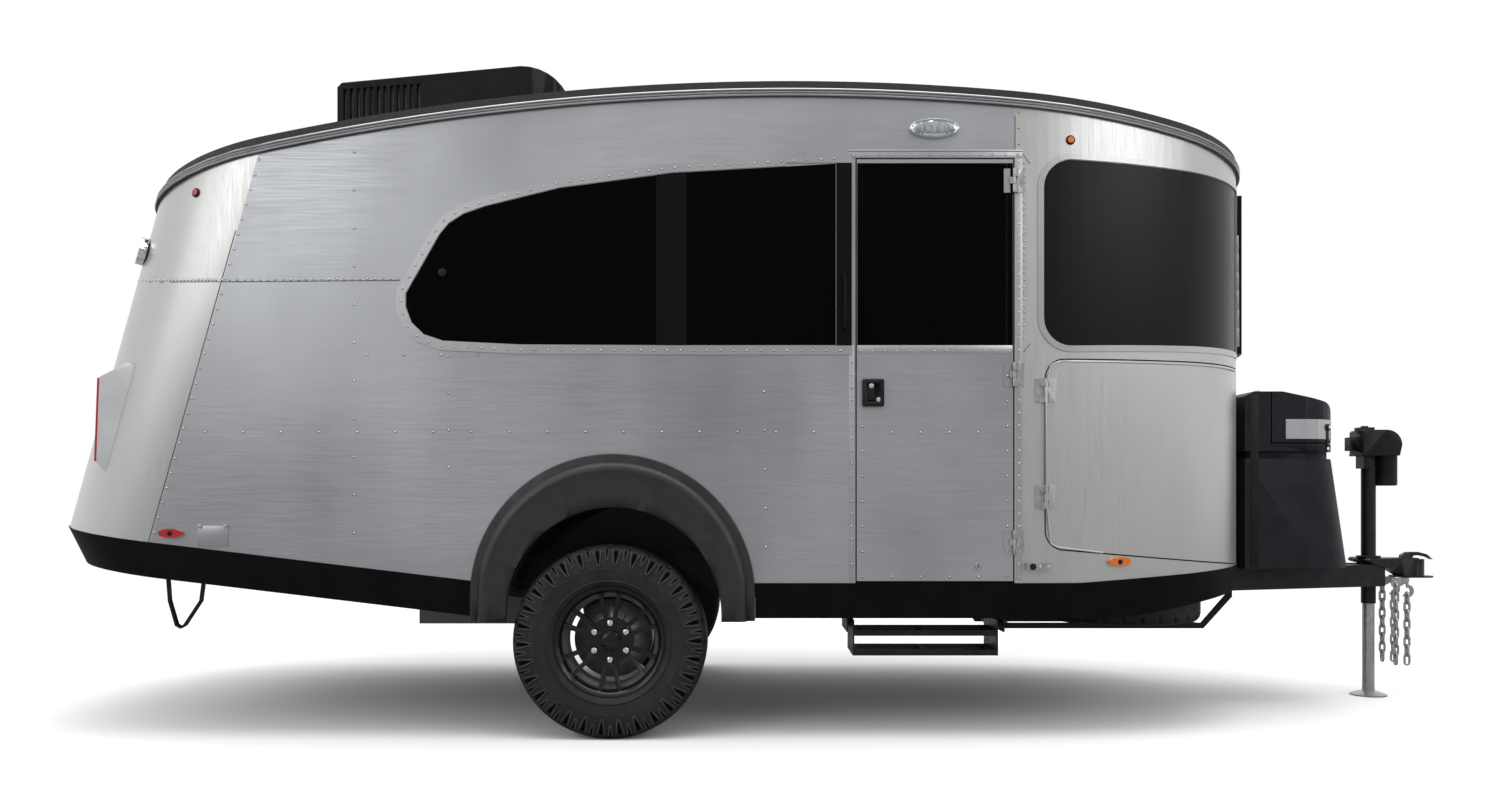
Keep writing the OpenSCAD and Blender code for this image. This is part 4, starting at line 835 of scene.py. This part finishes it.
class CARAVAN_OT_panel_joints(bpy.types.Operator):
    """Dark joints where the shell's sheets overlap"""

    bl_idname = "caravan.panel_joints"
    bl_label = "Panel joints"

    def execute(self, context):
        width, thickness = looks().joint_width, 0.0007
        made = []
        for row in PANEL_JOINTS:
            made += chain_of_bars(seen_row(*row, BODY_SKIN), width, thickness)
        joined(both_sides(made), "panel_joints", "seam", "body")
        return {"FINISHED"}


def side_strip(x0, z0, x1, z1, width, height=0.0016):
    """A flat strip on the near side's plane."""
    return bar((x0, SIDE_Y, z0), (x1, SIDE_Y, z1), OUTWARDS, width, height, 0.0006)


def crease(a, b):
    return bar(a, b, OUTWARDS, CREASE_WIDTH, CREASE_HEIGHT)


class CARAVAN_OT_door_frame(bpy.types.Operator):
    """Riveted strips round the entry door, the sill strip and the pane's black margins"""

    bl_idname = "caravan.door_frame"
    bl_label = "Door frame"

    def execute(self, context):
        size = looks().rivet_radius
        low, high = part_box("entry_door")
        # Middle lines of the strips, and their rivets
        front, rear, top, foot = 0.880, 0.248, 2.206, 0.600
        first, pitch, strip_height = 0.615, 0.0474, 0.0014
        front_count, rear_count, top_count = 34, 19, 14
        strips = [
            side_strip(front, foot, front, 2.190, 0.022),
            side_strip(rear, foot, rear, 1.484, 0.018),
            side_strip(rear - 0.010, top, front + 0.011, top, 0.028),
            side_strip(rear - 0.010, top + 0.012, front + 0.011, top + 0.012, 0.006, 0.005),
        ]
        joined(strips, "door_frame_strips", "strip", "body")
        heads = [on_side(front, first + i * pitch, *BODY_SKIN, "rain_rail") for i in range(front_count)]
        places = [(rear, SIDE_Y, first + i * pitch) for i in range(rear_count)]
        places += [(rear + 0.01 + i * pitch, SIDE_Y, top - 0.003) for i in range(top_count)]
        heads += [(Vector(place), OUTWARDS) for place in places]
        proud = [(place + OUTWARDS * strip_height, normal) for place, normal in heads]
        rivets("rivets_door_frame", proud, "body", size * STRIP_RIVET, far=False)
        beside = seen_row(*NOSE_WINDOW_RIVETS, BODY_SKIN)
        rivets("rivets_nose_window_side", beside, "body", size * NOSE_RIVET)

        plates, creases = [], []
        plate_rear, plate_front, plate_height = 0.192, 0.238, 0.0016
        for z0, z1 in ((2.172, 2.192), (1.452, 1.484)):
            middle = (z0 + z1) / 2
            plates.append(side_strip(plate_rear, middle, plate_front, middle, z1 - z0, plate_height))
            face_y = SIDE_Y - plate_height
            creases.append(crease((plate_rear + 0.001, face_y, z1), (plate_front - 0.001, face_y, z0)))
        for row in NOSE_WINDOW_CREASES:
            creases += chain_of_bars(seen_row(*row, BODY_SKIN), CREASE_WIDTH, CREASE_HEIGHT)
        joined(plates, "window_corner_plates", "strip", "body")
        joined(creases, "window_corner_creases", "seam", "body")

        pane_low, pane_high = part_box("entry_door_glass")
        sill, sill_pitch, sill_height, sill_count = pane_low.z - 0.016, 0.047, 0.0014, 13
        on_door = [side_strip(low.x + 0.004, sill, high.x - 0.012, sill, 0.030, sill_height)]
        joined(on_door, "door_sill_strip", "strip", "entry_door")
        first, face_y = low.x + 0.012, SIDE_Y - 0.0012
        places = [(first + i * sill_pitch, face_y, sill - 0.006) for i in range(sill_count)]
        heads = [(Vector(place), OUTWARDS) for place in places]
        rivets("rivets_door_sill", heads, "entry_door", size * STRIP_RIVET, far=False)

        # Black margins between the pane and the door's edges
        edge, margin_top, thickness = high.x - 0.009, pane_high.z + 0.01, 0.001
        rear_middle, front_middle = (low.x + pane_low.x) / 2 + 0.001, (edge + pane_high.x) / 2
        rear_width, front_width = pane_low.x - low.x - 0.001, edge - pane_high.x - 0.001
        top_middle = pane_high.z + 0.005
        black = [
            side_strip(rear_middle, pane_low.z, rear_middle, margin_top, rear_width, thickness),
            side_strip(front_middle, pane_low.z, front_middle, margin_top, front_width, thickness),
            side_strip(pane_low.x, top_middle, pane_high.x, top_middle, 0.010, thickness),
        ]
        joined(black, "door_pane_margins", "glass", "entry_door")
        return {"FINISHED"}


class CARAVAN_OT_door_fittings(bpy.types.Operator):
    """Recessed door handle with its locks, the door's hook, the hold-back catch and the window latch"""

    bl_idname = "caravan.door_fittings"
    bl_label = "Door fittings"

    def execute(self, context):
        low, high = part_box("entry_door_handle")
        middle = (low + high) / 2
        rim, dish_depth, dish_area = 0.010, 0.013, 0.003
        case = block(low, (high.x, high.y + 0.012, high.z), 0.007, 3)
        pick(case)
        edit_all("DESELECT")
        leave_edit()
        for face in case.data.polygons:
            face.select = face.normal.y < -0.99 and face.area > dish_area
        bpy.ops.object.mode_set(mode="EDIT")
        bpy.ops.mesh.inset(thickness=rim)
        bpy.ops.mesh.extrude_region_move(TRANSFORM_OT_translate={"value": (0, dish_depth, 0)})
        leave_edit()
        grip_foot = (low.x + 0.016, low.y + 0.004, low.z + 0.020)
        grip = block(grip_foot, (middle.x + 0.006, low.y + 0.016, high.z - 0.020), 0.005, 3)
        piece = joined([case, grip], "door_handle", "plastic", "entry_door")
        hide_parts("entry_door_handle")
        locks = [
            turned((x, low.y + 0.012, z), (x, low.y, z), 0.009, 20, 0.001)
            for x, z in ((middle.x - 0.008, high.z - 0.027), (high.x - 0.022, low.z + 0.024))
        ]
        joined(locks, "door_locks", "chrome", "entry_door")

        x, z = 0.7235, 0.655
        base = turned((x, SIDE_Y + 0.001, z), (x, SIDE_Y - 0.003, z), 0.0125, 20, 0.001)
        wide, deep, tall = 0.007, 0.002, 0.011
        points = [
            (x + wide * math.cos(t), SIDE_Y - 0.008 + deep * math.sin(t), z + tall * math.sin(t))
            for t in [math.tau * i / 12 for i in range(12)]
        ]
        joined([base, rod(points, 0.0024, closed=True)], "door_hook", "steel", "entry_door")

        x, z = 0.926, 0.653
        knob = turned((x, SIDE_Y - 0.004, z), (x, SIDE_Y - 0.028, z), 0.013, 20, 0.003)
        joined([knob], "catch_knob", "plastic", "body")
        screws = []
        for place, normal in (on_side(x, z, "hinges") for x in (0.952, 0.984)):
            screws.append(turned(place + normal * -0.001, place + normal * 0.0035, 0.006, 12, 0.001))
        joined(screws, "catch_screws", "chrome", "body")

        place, normal = on_side(-1.291, 1.758, "window_glass", "window_frames")
        knob = turned(place, place + normal * 0.012, 0.016, 24, 0.003)
        joined(both_sides([knob]), "window_latch", "plastic", "body")

        hatch = [block((-2.213, SIDE_Y - 0.0022, 0.726), (-2.098, SIDE_Y + 0.001, 0.806), 0.0008)]
        joined(hatch, "access_hatch", "sheet", "body")
        catches = [
            block((x, SIDE_Y - 0.005, 0.797), (x + 0.014, SIDE_Y + 0.001, 0.811), 0.001)
            for x in (-2.211, -2.114)
        ]
        joined(catches, "access_hatch_catches", "steel", "body")
        return {"FINISHED"}


class CARAVAN_OT_nose_trim(bpy.types.Operator):
    """Bright edge of the storage doors and the nose window's front members"""

    bl_idname = "caravan.nose_trim"
    bl_label = "Nose trim"

    def execute(self, context):
        # The door's rounded rear corners, its top and foot, and its open front end
        turn_x, radius, high, low, end_x = 1.045, 0.066, 1.426, 0.722, 1.84
        corner_steps, step = 8, 0.04
        spots = [(end_x, high + 0.002), (turn_x, high + 0.0005)]
        for start, z in ((math.pi / 2, high - radius), (math.pi, low + radius)):
            for i in range(corner_steps + 1):
                t = start + math.pi / 2 * i / corner_steps
                spots.append((turn_x + radius * math.cos(t), z + radius * math.sin(t)))
        fall = 0.110 / (1.97 - turn_x)
        spots.append((end_x, low - fall * (end_x - turn_x)))
        path = []
        for (x0, z0), (x1, z1) in zip(spots, spots[1:]):
            steps = max(1, round(math.hypot(x1 - x0, z1 - z0) / step))
            path += [(x0 + (x1 - x0) * i / steps, z0 + (z1 - z0) * i / steps) for i in range(steps)]
        row = [side_hit(x, z, ("storage_door_near",))[0] for x, z in path]
        for side, node in ((1, "storage_door_near"), (-1, "storage_door_far")):
            points = [Vector((p.x, p.y * side, p.z)) for p in row if p is not None]
            joined([rod(points, 0.0038)], node + "_edge", "trim", node)

        posts = chain_of_bars(seen_row(*NOSE_WINDOW_POST, ("window_glass",)), 0.020, 0.008, 0.001)
        joined(both_sides(posts), "nose_window_posts", "trim", "body")
        return {"FINISHED"}


class CARAVAN_OT_gas_box_fittings(bpy.types.Operator):
    """Plate, strap latch and rear channel of the gas box"""

    bl_idname = "caravan.gas_box_fittings"
    bl_label = "Gas box fittings"

    def execute(self, context):
        lid, level, plate_height, head_seat = body_of("gas_box_lid"), 1.207, 0.0020, 0.0018
        edge = [2.159, 2.200, 2.250, 2.300] + [2.335 + 0.0055 * i for i in range(11)]
        plate = chain_of_bars([on_side(x, level, "gas_box_lid") for x in edge], 0.084, plate_height)
        joined(both_sides(plate), "gas_lid_plates", "strip", lid)
        corners = [on_side(x, z, "gas_box_lid") for x in (2.168, 2.384) for z in (1.174, 1.240)]
        heads = [(place + normal * head_seat, normal) for place, normal in corners]
        rivets("rivets_gas_lid_plates", heads, lid, looks().rivet_radius * FRAME_RIVET)

        place, normal = on_side(2.353, level, "gas_box_lid")
        top, foot = place + Vector((0, 0, 0.009)), place + Vector((0, 0, -0.084))
        straps = [
            bar(top, foot, normal, 0.014, 0.007, 0.002),
            turned(top + normal * 0.002, top + normal * 0.012, 0.015, 24, 0.003),
        ]
        joined(both_sides(straps), "gas_box_straps", "rubber", lid)
        knobs = [
            turned(top + normal * 0.010, top + normal * 0.0145, 0.008, 20, 0.001),
            turned(foot + normal * 0.001, foot + normal * 0.009, 0.009, 16, 0.002),
        ]
        joined(both_sides(knobs), "gas_box_strap_knobs", "chrome", lid)

        low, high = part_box("gas_box")
        foot, top = (2.006, low.y - 0.0015, low.z + 0.010), (2.044, low.y + 0.001, high.z - 0.010)
        channel = block(foot, top, 0.0005)
        joined(both_sides([channel]), "gas_box_channels", "plastic", "body")
        return {"FINISHED"}


def tyre_spot(radius, degrees):
    """The point and normal of the near tyre's wall at a radius and an angle."""
    angle = math.radians(degrees)
    x, z = WHEEL_X + radius * math.cos(angle), WHEEL_Z + radius * math.sin(angle)
    return side_hit(x, z, ("tyre_near",))


def tyre_pair(pieces, name, finish):
    """Joins pieces on the near tyre, and gives the far tyre a mirrored copy."""
    near = joined(pieces, name + "_near", finish, body_of("tyre_near"))
    finished(moved_copy(near, FAR), name + "_far", finish, body_of("tyre_far"))


class CARAVAN_OT_tyre_relief(bpy.types.Operator):
    """Paired ribs on the tyres' sidewalls and a ring that guards the rim"""

    bl_idname = "caravan.tyre_relief"
    bl_label = "Tyre relief"

    def execute(self, context):
        ribs, hollow_shade_strips = [], []
        # Ribs: inner and outer radius, angle in degrees, how far it leans, width
        for inner, outer, turn, lean, wide in (
            (0.288, 0.347, 0.6, -2.0, 0.0060), (0.288, 0.347, 1.8, 2.0, 0.0060),
            (0.310, 0.350, 6.6, -0.8, 0.0055), (0.310, 0.350, 7.6, 0.8, 0.0055),
        ):
            radii = [inner + (outer - inner) * i / 3 for i in range(4)]
            row = [tyre_spot(r, turn + lean * (r - inner) / (outer - inner)) for r in radii]
            ribs += chain_of_bars(row, wide, 0.0050, 0.0012)
        # Near-black strips between each pair of ribs: painted shade of the hollow
        for inner, outer, turn, wide in ((0.300, 0.347, 1.2, 0.013), (0.322, 0.350, 7.1, 0.008)):
            row = [tyre_spot(inner + (outer - inner) * i / 2, turn) for i in range(3)]
            hollow_shade_strips += chain_of_bars(row, wide, 0.0006)
        blocks = 30
        there = Matrix.Translation((WHEEL_X, WHEEL_Y, WHEEL_Z))
        turns = [
            there @ Matrix.Rotation(math.radians(360 / blocks * i), 4, "Y") @ there.inverted()
            for i in range(1, blocks)
        ]
        for pieces, name, finish in ((ribs, "tyre_ribs", "rib_highlight"), (hollow_shade_strips, "tyre_hollow_shade", "painted_hollow_shade")):
            first = joined(pieces, name, finish, body_of("tyre_near"))
            tyre_pair([first] + [moved_copy(first, turn) for turn in turns], name, finish)
        rings = [
            rod([tyre_spot(radius, degrees)[0] for degrees in range(0, 360, 5)], thick, closed=True)
            for radius, thick in ((0.232, 0.004), (0.276, 0.0018))
        ]
        tyre_pair(rings, "tyre_relief", "rubber")
        return {"FINISHED"}


class CARAVAN_OT_cooler_fins(bpy.types.Operator):
    """Pale fins behind the air conditioner's slots, and a plate behind them"""

    bl_idname = "caravan.cooler_fins"
    bl_label = "Air conditioner fins"

    def execute(self, context):
        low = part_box("air_conditioner")[0]
        first, length, count = low.x + 0.026, 0.348, 90
        foot, top, front, back = 2.47, 2.72, low.y + 0.024, low.y + 0.040
        fin = block((first, front, foot), (first + 0.0012, back, top), 0.0)
        fins = [fin]
        fins += [moved_copy(fin, Matrix.Translation((length * i / count, 0, 0))) for i in range(1, count)]
        fins.append(block((first - 0.01, back, foot), (first + length, back + 0.003, top), 0.0))
        joined(both_sides(fins), "cooler_fins", "fins", "body")
        return {"FINISHED"}


def ring(place, normal, wide, tall, thick):
    """An oval ring round a point of the skin."""
    deselect()
    bpy.ops.mesh.primitive_torus_add(
        major_segments=40, minor_segments=8, major_radius=1.0, minor_radius=thick / wide,
    )
    piece = bpy.context.object
    piece.scale = (wide, tall, wide)
    apply_place(piece)
    side = Vector((0, 0, 1)).cross(normal).normalized()
    turn = Matrix((side, normal.cross(side), normal)).transposed().to_4x4()
    piece.matrix_world = Matrix.Translation(place) @ turn
    apply_place(piece)
    return smooth(piece, 60)


class CARAVAN_OT_lamp_rims(bpy.types.Operator):
    """Dark rings round the marker lamps and the porch light's bezel"""

    bl_idname = "caravan.lamp_rims"
    bl_label = "Lamp rims"

    def execute(self, context):
        dark = []
        for x, z, node in ((1.076, 2.262, "nose_wall"), (-2.240, 2.071, "tail_wall")):
            place, normal = on_side(x, z, node)
            dark.append(ring(place + normal * 0.002, normal, 0.0145, 0.0145, 0.0035))
        joined(both_sides(dark), "marker_rims", "plastic", "body")
        eyes = []
        for x, z in ((1.269, 0.669), (-2.313, 0.778)):
            place, normal = on_side(x, z, "lamps")
            eyes.append(turned(place - normal * 0.003, place + normal * 0.003, 0.009, 20, 0.001))
        joined(both_sides(eyes), "marker_eyes", "plastic", "body")
        x, face_y, z = PORCH_X, SIDE_Y - 0.0225, PORCH_Z
        bezel = [ring(Vector((x, SIDE_Y - 0.012, z)), OUTWARDS, 0.088, 0.033, 0.006)]
        bezel += [
            bar((x + step, face_y, z - 0.017), (x + step, face_y, z + 0.017), OUTWARDS, 0.002, 0.003)
            for step in (-0.046, -0.023, 0.0, 0.023, 0.046)
        ]
        joined(bezel, "porch_light_bezel", "chrome", "body")
        return {"FINISHED"}


WHITE = (1, 1, 1, 1)
FLOOR_SIZE, FLOOR_BOUNCE, FLOOR_SHOWN = 80.0, 0.30, 0.93
# Name, place, point it shines at, length and width, and power
LAMPS = (
    ("lamp_above", (0.0, -1.0, 6.5), (0.0, 0.0, 0.0), (8.0, 5.0), 260),
    ("lamp_nose", (5.6, -5.8, 4.4), (1.4, -0.8, 1.6), (3.4, 2.4), 62),
    ("lamp_rear", (-5.6, -8.0, 4.8), (-2.0, -1.0, 2.0), (4.0, 2.6), 88),
    ("lamp_tail", (-6.5, -4.5, 4.0), (-2.5, -0.8, 1.8), (3.0, 3.0), 34),
)
SENSOR = 36.0


def floor_material():
    """Matt floor that holds the shadow and fades to white for the camera, 4 to 11 m away."""
    material = bpy.data.materials.new("studio_floor")
    material.use_nodes = True
    tree = material.node_tree
    bsdf = tree.nodes["Principled BSDF"]
    seen = add_node(tree, "LightPath").outputs["Is Camera Ray"]
    shades = {"A": (*[FLOOR_BOUNCE] * 3, 1.0), "B": (*[FLOOR_SHOWN] * 3, 1.0), "Factor": seen}
    shade = add_node(tree, "Mix", shades, data_type="RGBA")
    tree.links.new(shade.outputs["Result"], bsdf.inputs["Base Color"])
    bsdf.inputs["Roughness"].default_value = 0.9
    bsdf.inputs["Specular IOR Level"].default_value = 0.0
    place = add_node(tree, "TexCoord").outputs["Object"]
    away = add_node(tree, "VectorMath", {0: place}, operation="LENGTH").outputs["Value"]
    fade = add_node(tree, "MapRange", {"Value": away, "From Min": 4.0, "From Max": 11.0}).outputs["Result"]
    share = add_node(tree, "Math", {0: fade, 1: seen}, operation="MULTIPLY").outputs["Value"]
    glow = add_node(tree, "Emission", {"Color": WHITE}).outputs["Emission"]
    mix = add_node(tree, "MixShader", {"Fac": share, 1: bsdf.outputs["BSDF"], 2: glow})
    tree.links.new(mix.outputs["Shader"], tree.nodes["Material Output"].inputs["Surface"])
    return material


def studio_world():
    """White background, and soft light that grows from the camera's side to the far side and upwards."""
    world = bpy.data.worlds.new("studio")
    world.use_nodes = True
    tree = world.node_tree
    tree.nodes.clear()
    rays = add_node(tree, "LightPath").outputs
    way = add_node(tree, "TexCoord").outputs["Generated"]
    parts = add_node(tree, "SeparateXYZ", {"Vector": way}).outputs
    reach = {"From Min": -1.0, "From Max": -0.2, "To Min": 0.42, "To Max": 0.95}
    front = add_node(tree, "MapRange", {"Value": parts["Y"], **reach}, interpolation_type="SMOOTHSTEP")
    upwards = {0: parts["Z"], 1: 0.45, 2: front.outputs["Result"]}
    rise = add_node(tree, "Math", upwards, operation="MULTIPLY_ADD").outputs["Value"]
    soft = add_node(tree, "Background", {"Color": WHITE, "Strength": rise}).outputs["Background"]
    shown = add_node(tree, "Background", {"Color": WHITE, "Strength": 1.0}).outputs["Background"]
    # Gloss and glass show the white background too, but not behind the camera
    behind = add_node(tree, "MapRange", {"Value": parts["Y"], "From Min": -0.6, "From Max": 0.3})
    mirrors = {0: rays["Is Glossy Ray"], 1: rays["Is Transmission Ray"]}
    gloss = add_node(tree, "Math", mirrors, operation="MAXIMUM").outputs["Value"]
    shared = add_node(tree, "Math", {0: gloss, 1: behind.outputs["Result"]}, operation="MULTIPLY")
    either = {0: rays["Is Camera Ray"], 1: shared.outputs["Value"]}
    fac = add_node(tree, "Math", either, operation="MAXIMUM").outputs["Value"]
    mix = add_node(tree, "MixShader", {"Fac": fac, 1: soft, 2: shown})
    add_node(tree, "OutputWorld", {"Surface": mix.outputs["Shader"]})
    return world


class CARAVAN_OT_stage(bpy.types.Operator):
    """Floor, world, lamps and camera"""

    bl_idname = "caravan.stage"
    bl_label = "Studio"

    def execute(self, context):
        deselect()
        bpy.ops.mesh.primitive_plane_add(size=FLOOR_SIZE, location=(0, 0, 0))
        floor = bpy.context.object
        floor.name = "studio_floor"
        floor.data.materials.append(floor_material())
        scene = bpy.context.scene
        scene.world = studio_world()
        for name, place, target, (length, width), power in LAMPS:
            data = bpy.data.lights.new(name, "AREA")
            data.shape = "RECTANGLE"
            data.size, data.size_y, data.energy = length, width, power
            made = link(bpy.data.objects.new(name, data))
            made.location = place
            made.rotation_euler = (Vector(target) - Vector(place)).to_track_quat("-Z", "Y").to_euler()
        camera = bpy.data.cameras.new("camera")
        camera.sensor_width = SENSOR
        camera.lens = SENSOR * FOCAL / PHOTO_WIDTH
        camera.shift_y = (HORIZON[1] - PHOTO_MIDDLE) / PHOTO_WIDTH
        camera.clip_end = 200.0
        scene.camera = link(bpy.data.objects.new("camera", camera))
        scene.camera.location = EYE
        scene.camera.rotation_euler = (math.radians(90), 0, 0)
        scene.view_settings.view_transform = "Standard"
        return {"FINISHED"}


class CARAVAN_PT_panel(bpy.types.Panel):
    """Lists the steps that dress the caravan"""

    bl_label = "Caravan"
    bl_idname = "CARAVAN_PT_panel"
    bl_space_type = "VIEW_3D"
    bl_region_type = "UI"
    bl_category = "Caravan"

    def draw(self, context):
        column = self.layout.column()
        for name in CaravanLooks.__annotations__:
            column.prop(context.scene.caravan_looks, name)
        for step in STEPS:
            column.operator(step.bl_idname)


STEPS = (
    CARAVAN_OT_finishes,
    CARAVAN_OT_rain_rail,
    CARAVAN_OT_panel_joints,
    CARAVAN_OT_rivet_rows,
    CARAVAN_OT_door_frame,
    CARAVAN_OT_door_fittings,
    CARAVAN_OT_nose_trim,
    CARAVAN_OT_gas_box_fittings,
    CARAVAN_OT_tyre_relief,
    CARAVAN_OT_cooler_fins,
    CARAVAN_OT_lamp_rims,
    CARAVAN_OT_stage,
)
CLASSES = (CaravanLooks, *STEPS, CARAVAN_PT_panel)


def register():
    for item in CLASSES:
        bpy.utils.register_class(item)
    bpy.types.Scene.caravan_looks = bpy.props.PointerProperty(type=CaravanLooks)


def unregister():
    del bpy.types.Scene.caravan_looks
    for item in reversed(CLASSES):
        bpy.utils.unregister_class(item)


def main():
    register()
    for step in STEPS:
        group, name = step.bl_idname.split(".")
        getattr(getattr(bpy.ops, group), name)()


if __name__ == "__main__":
    main()
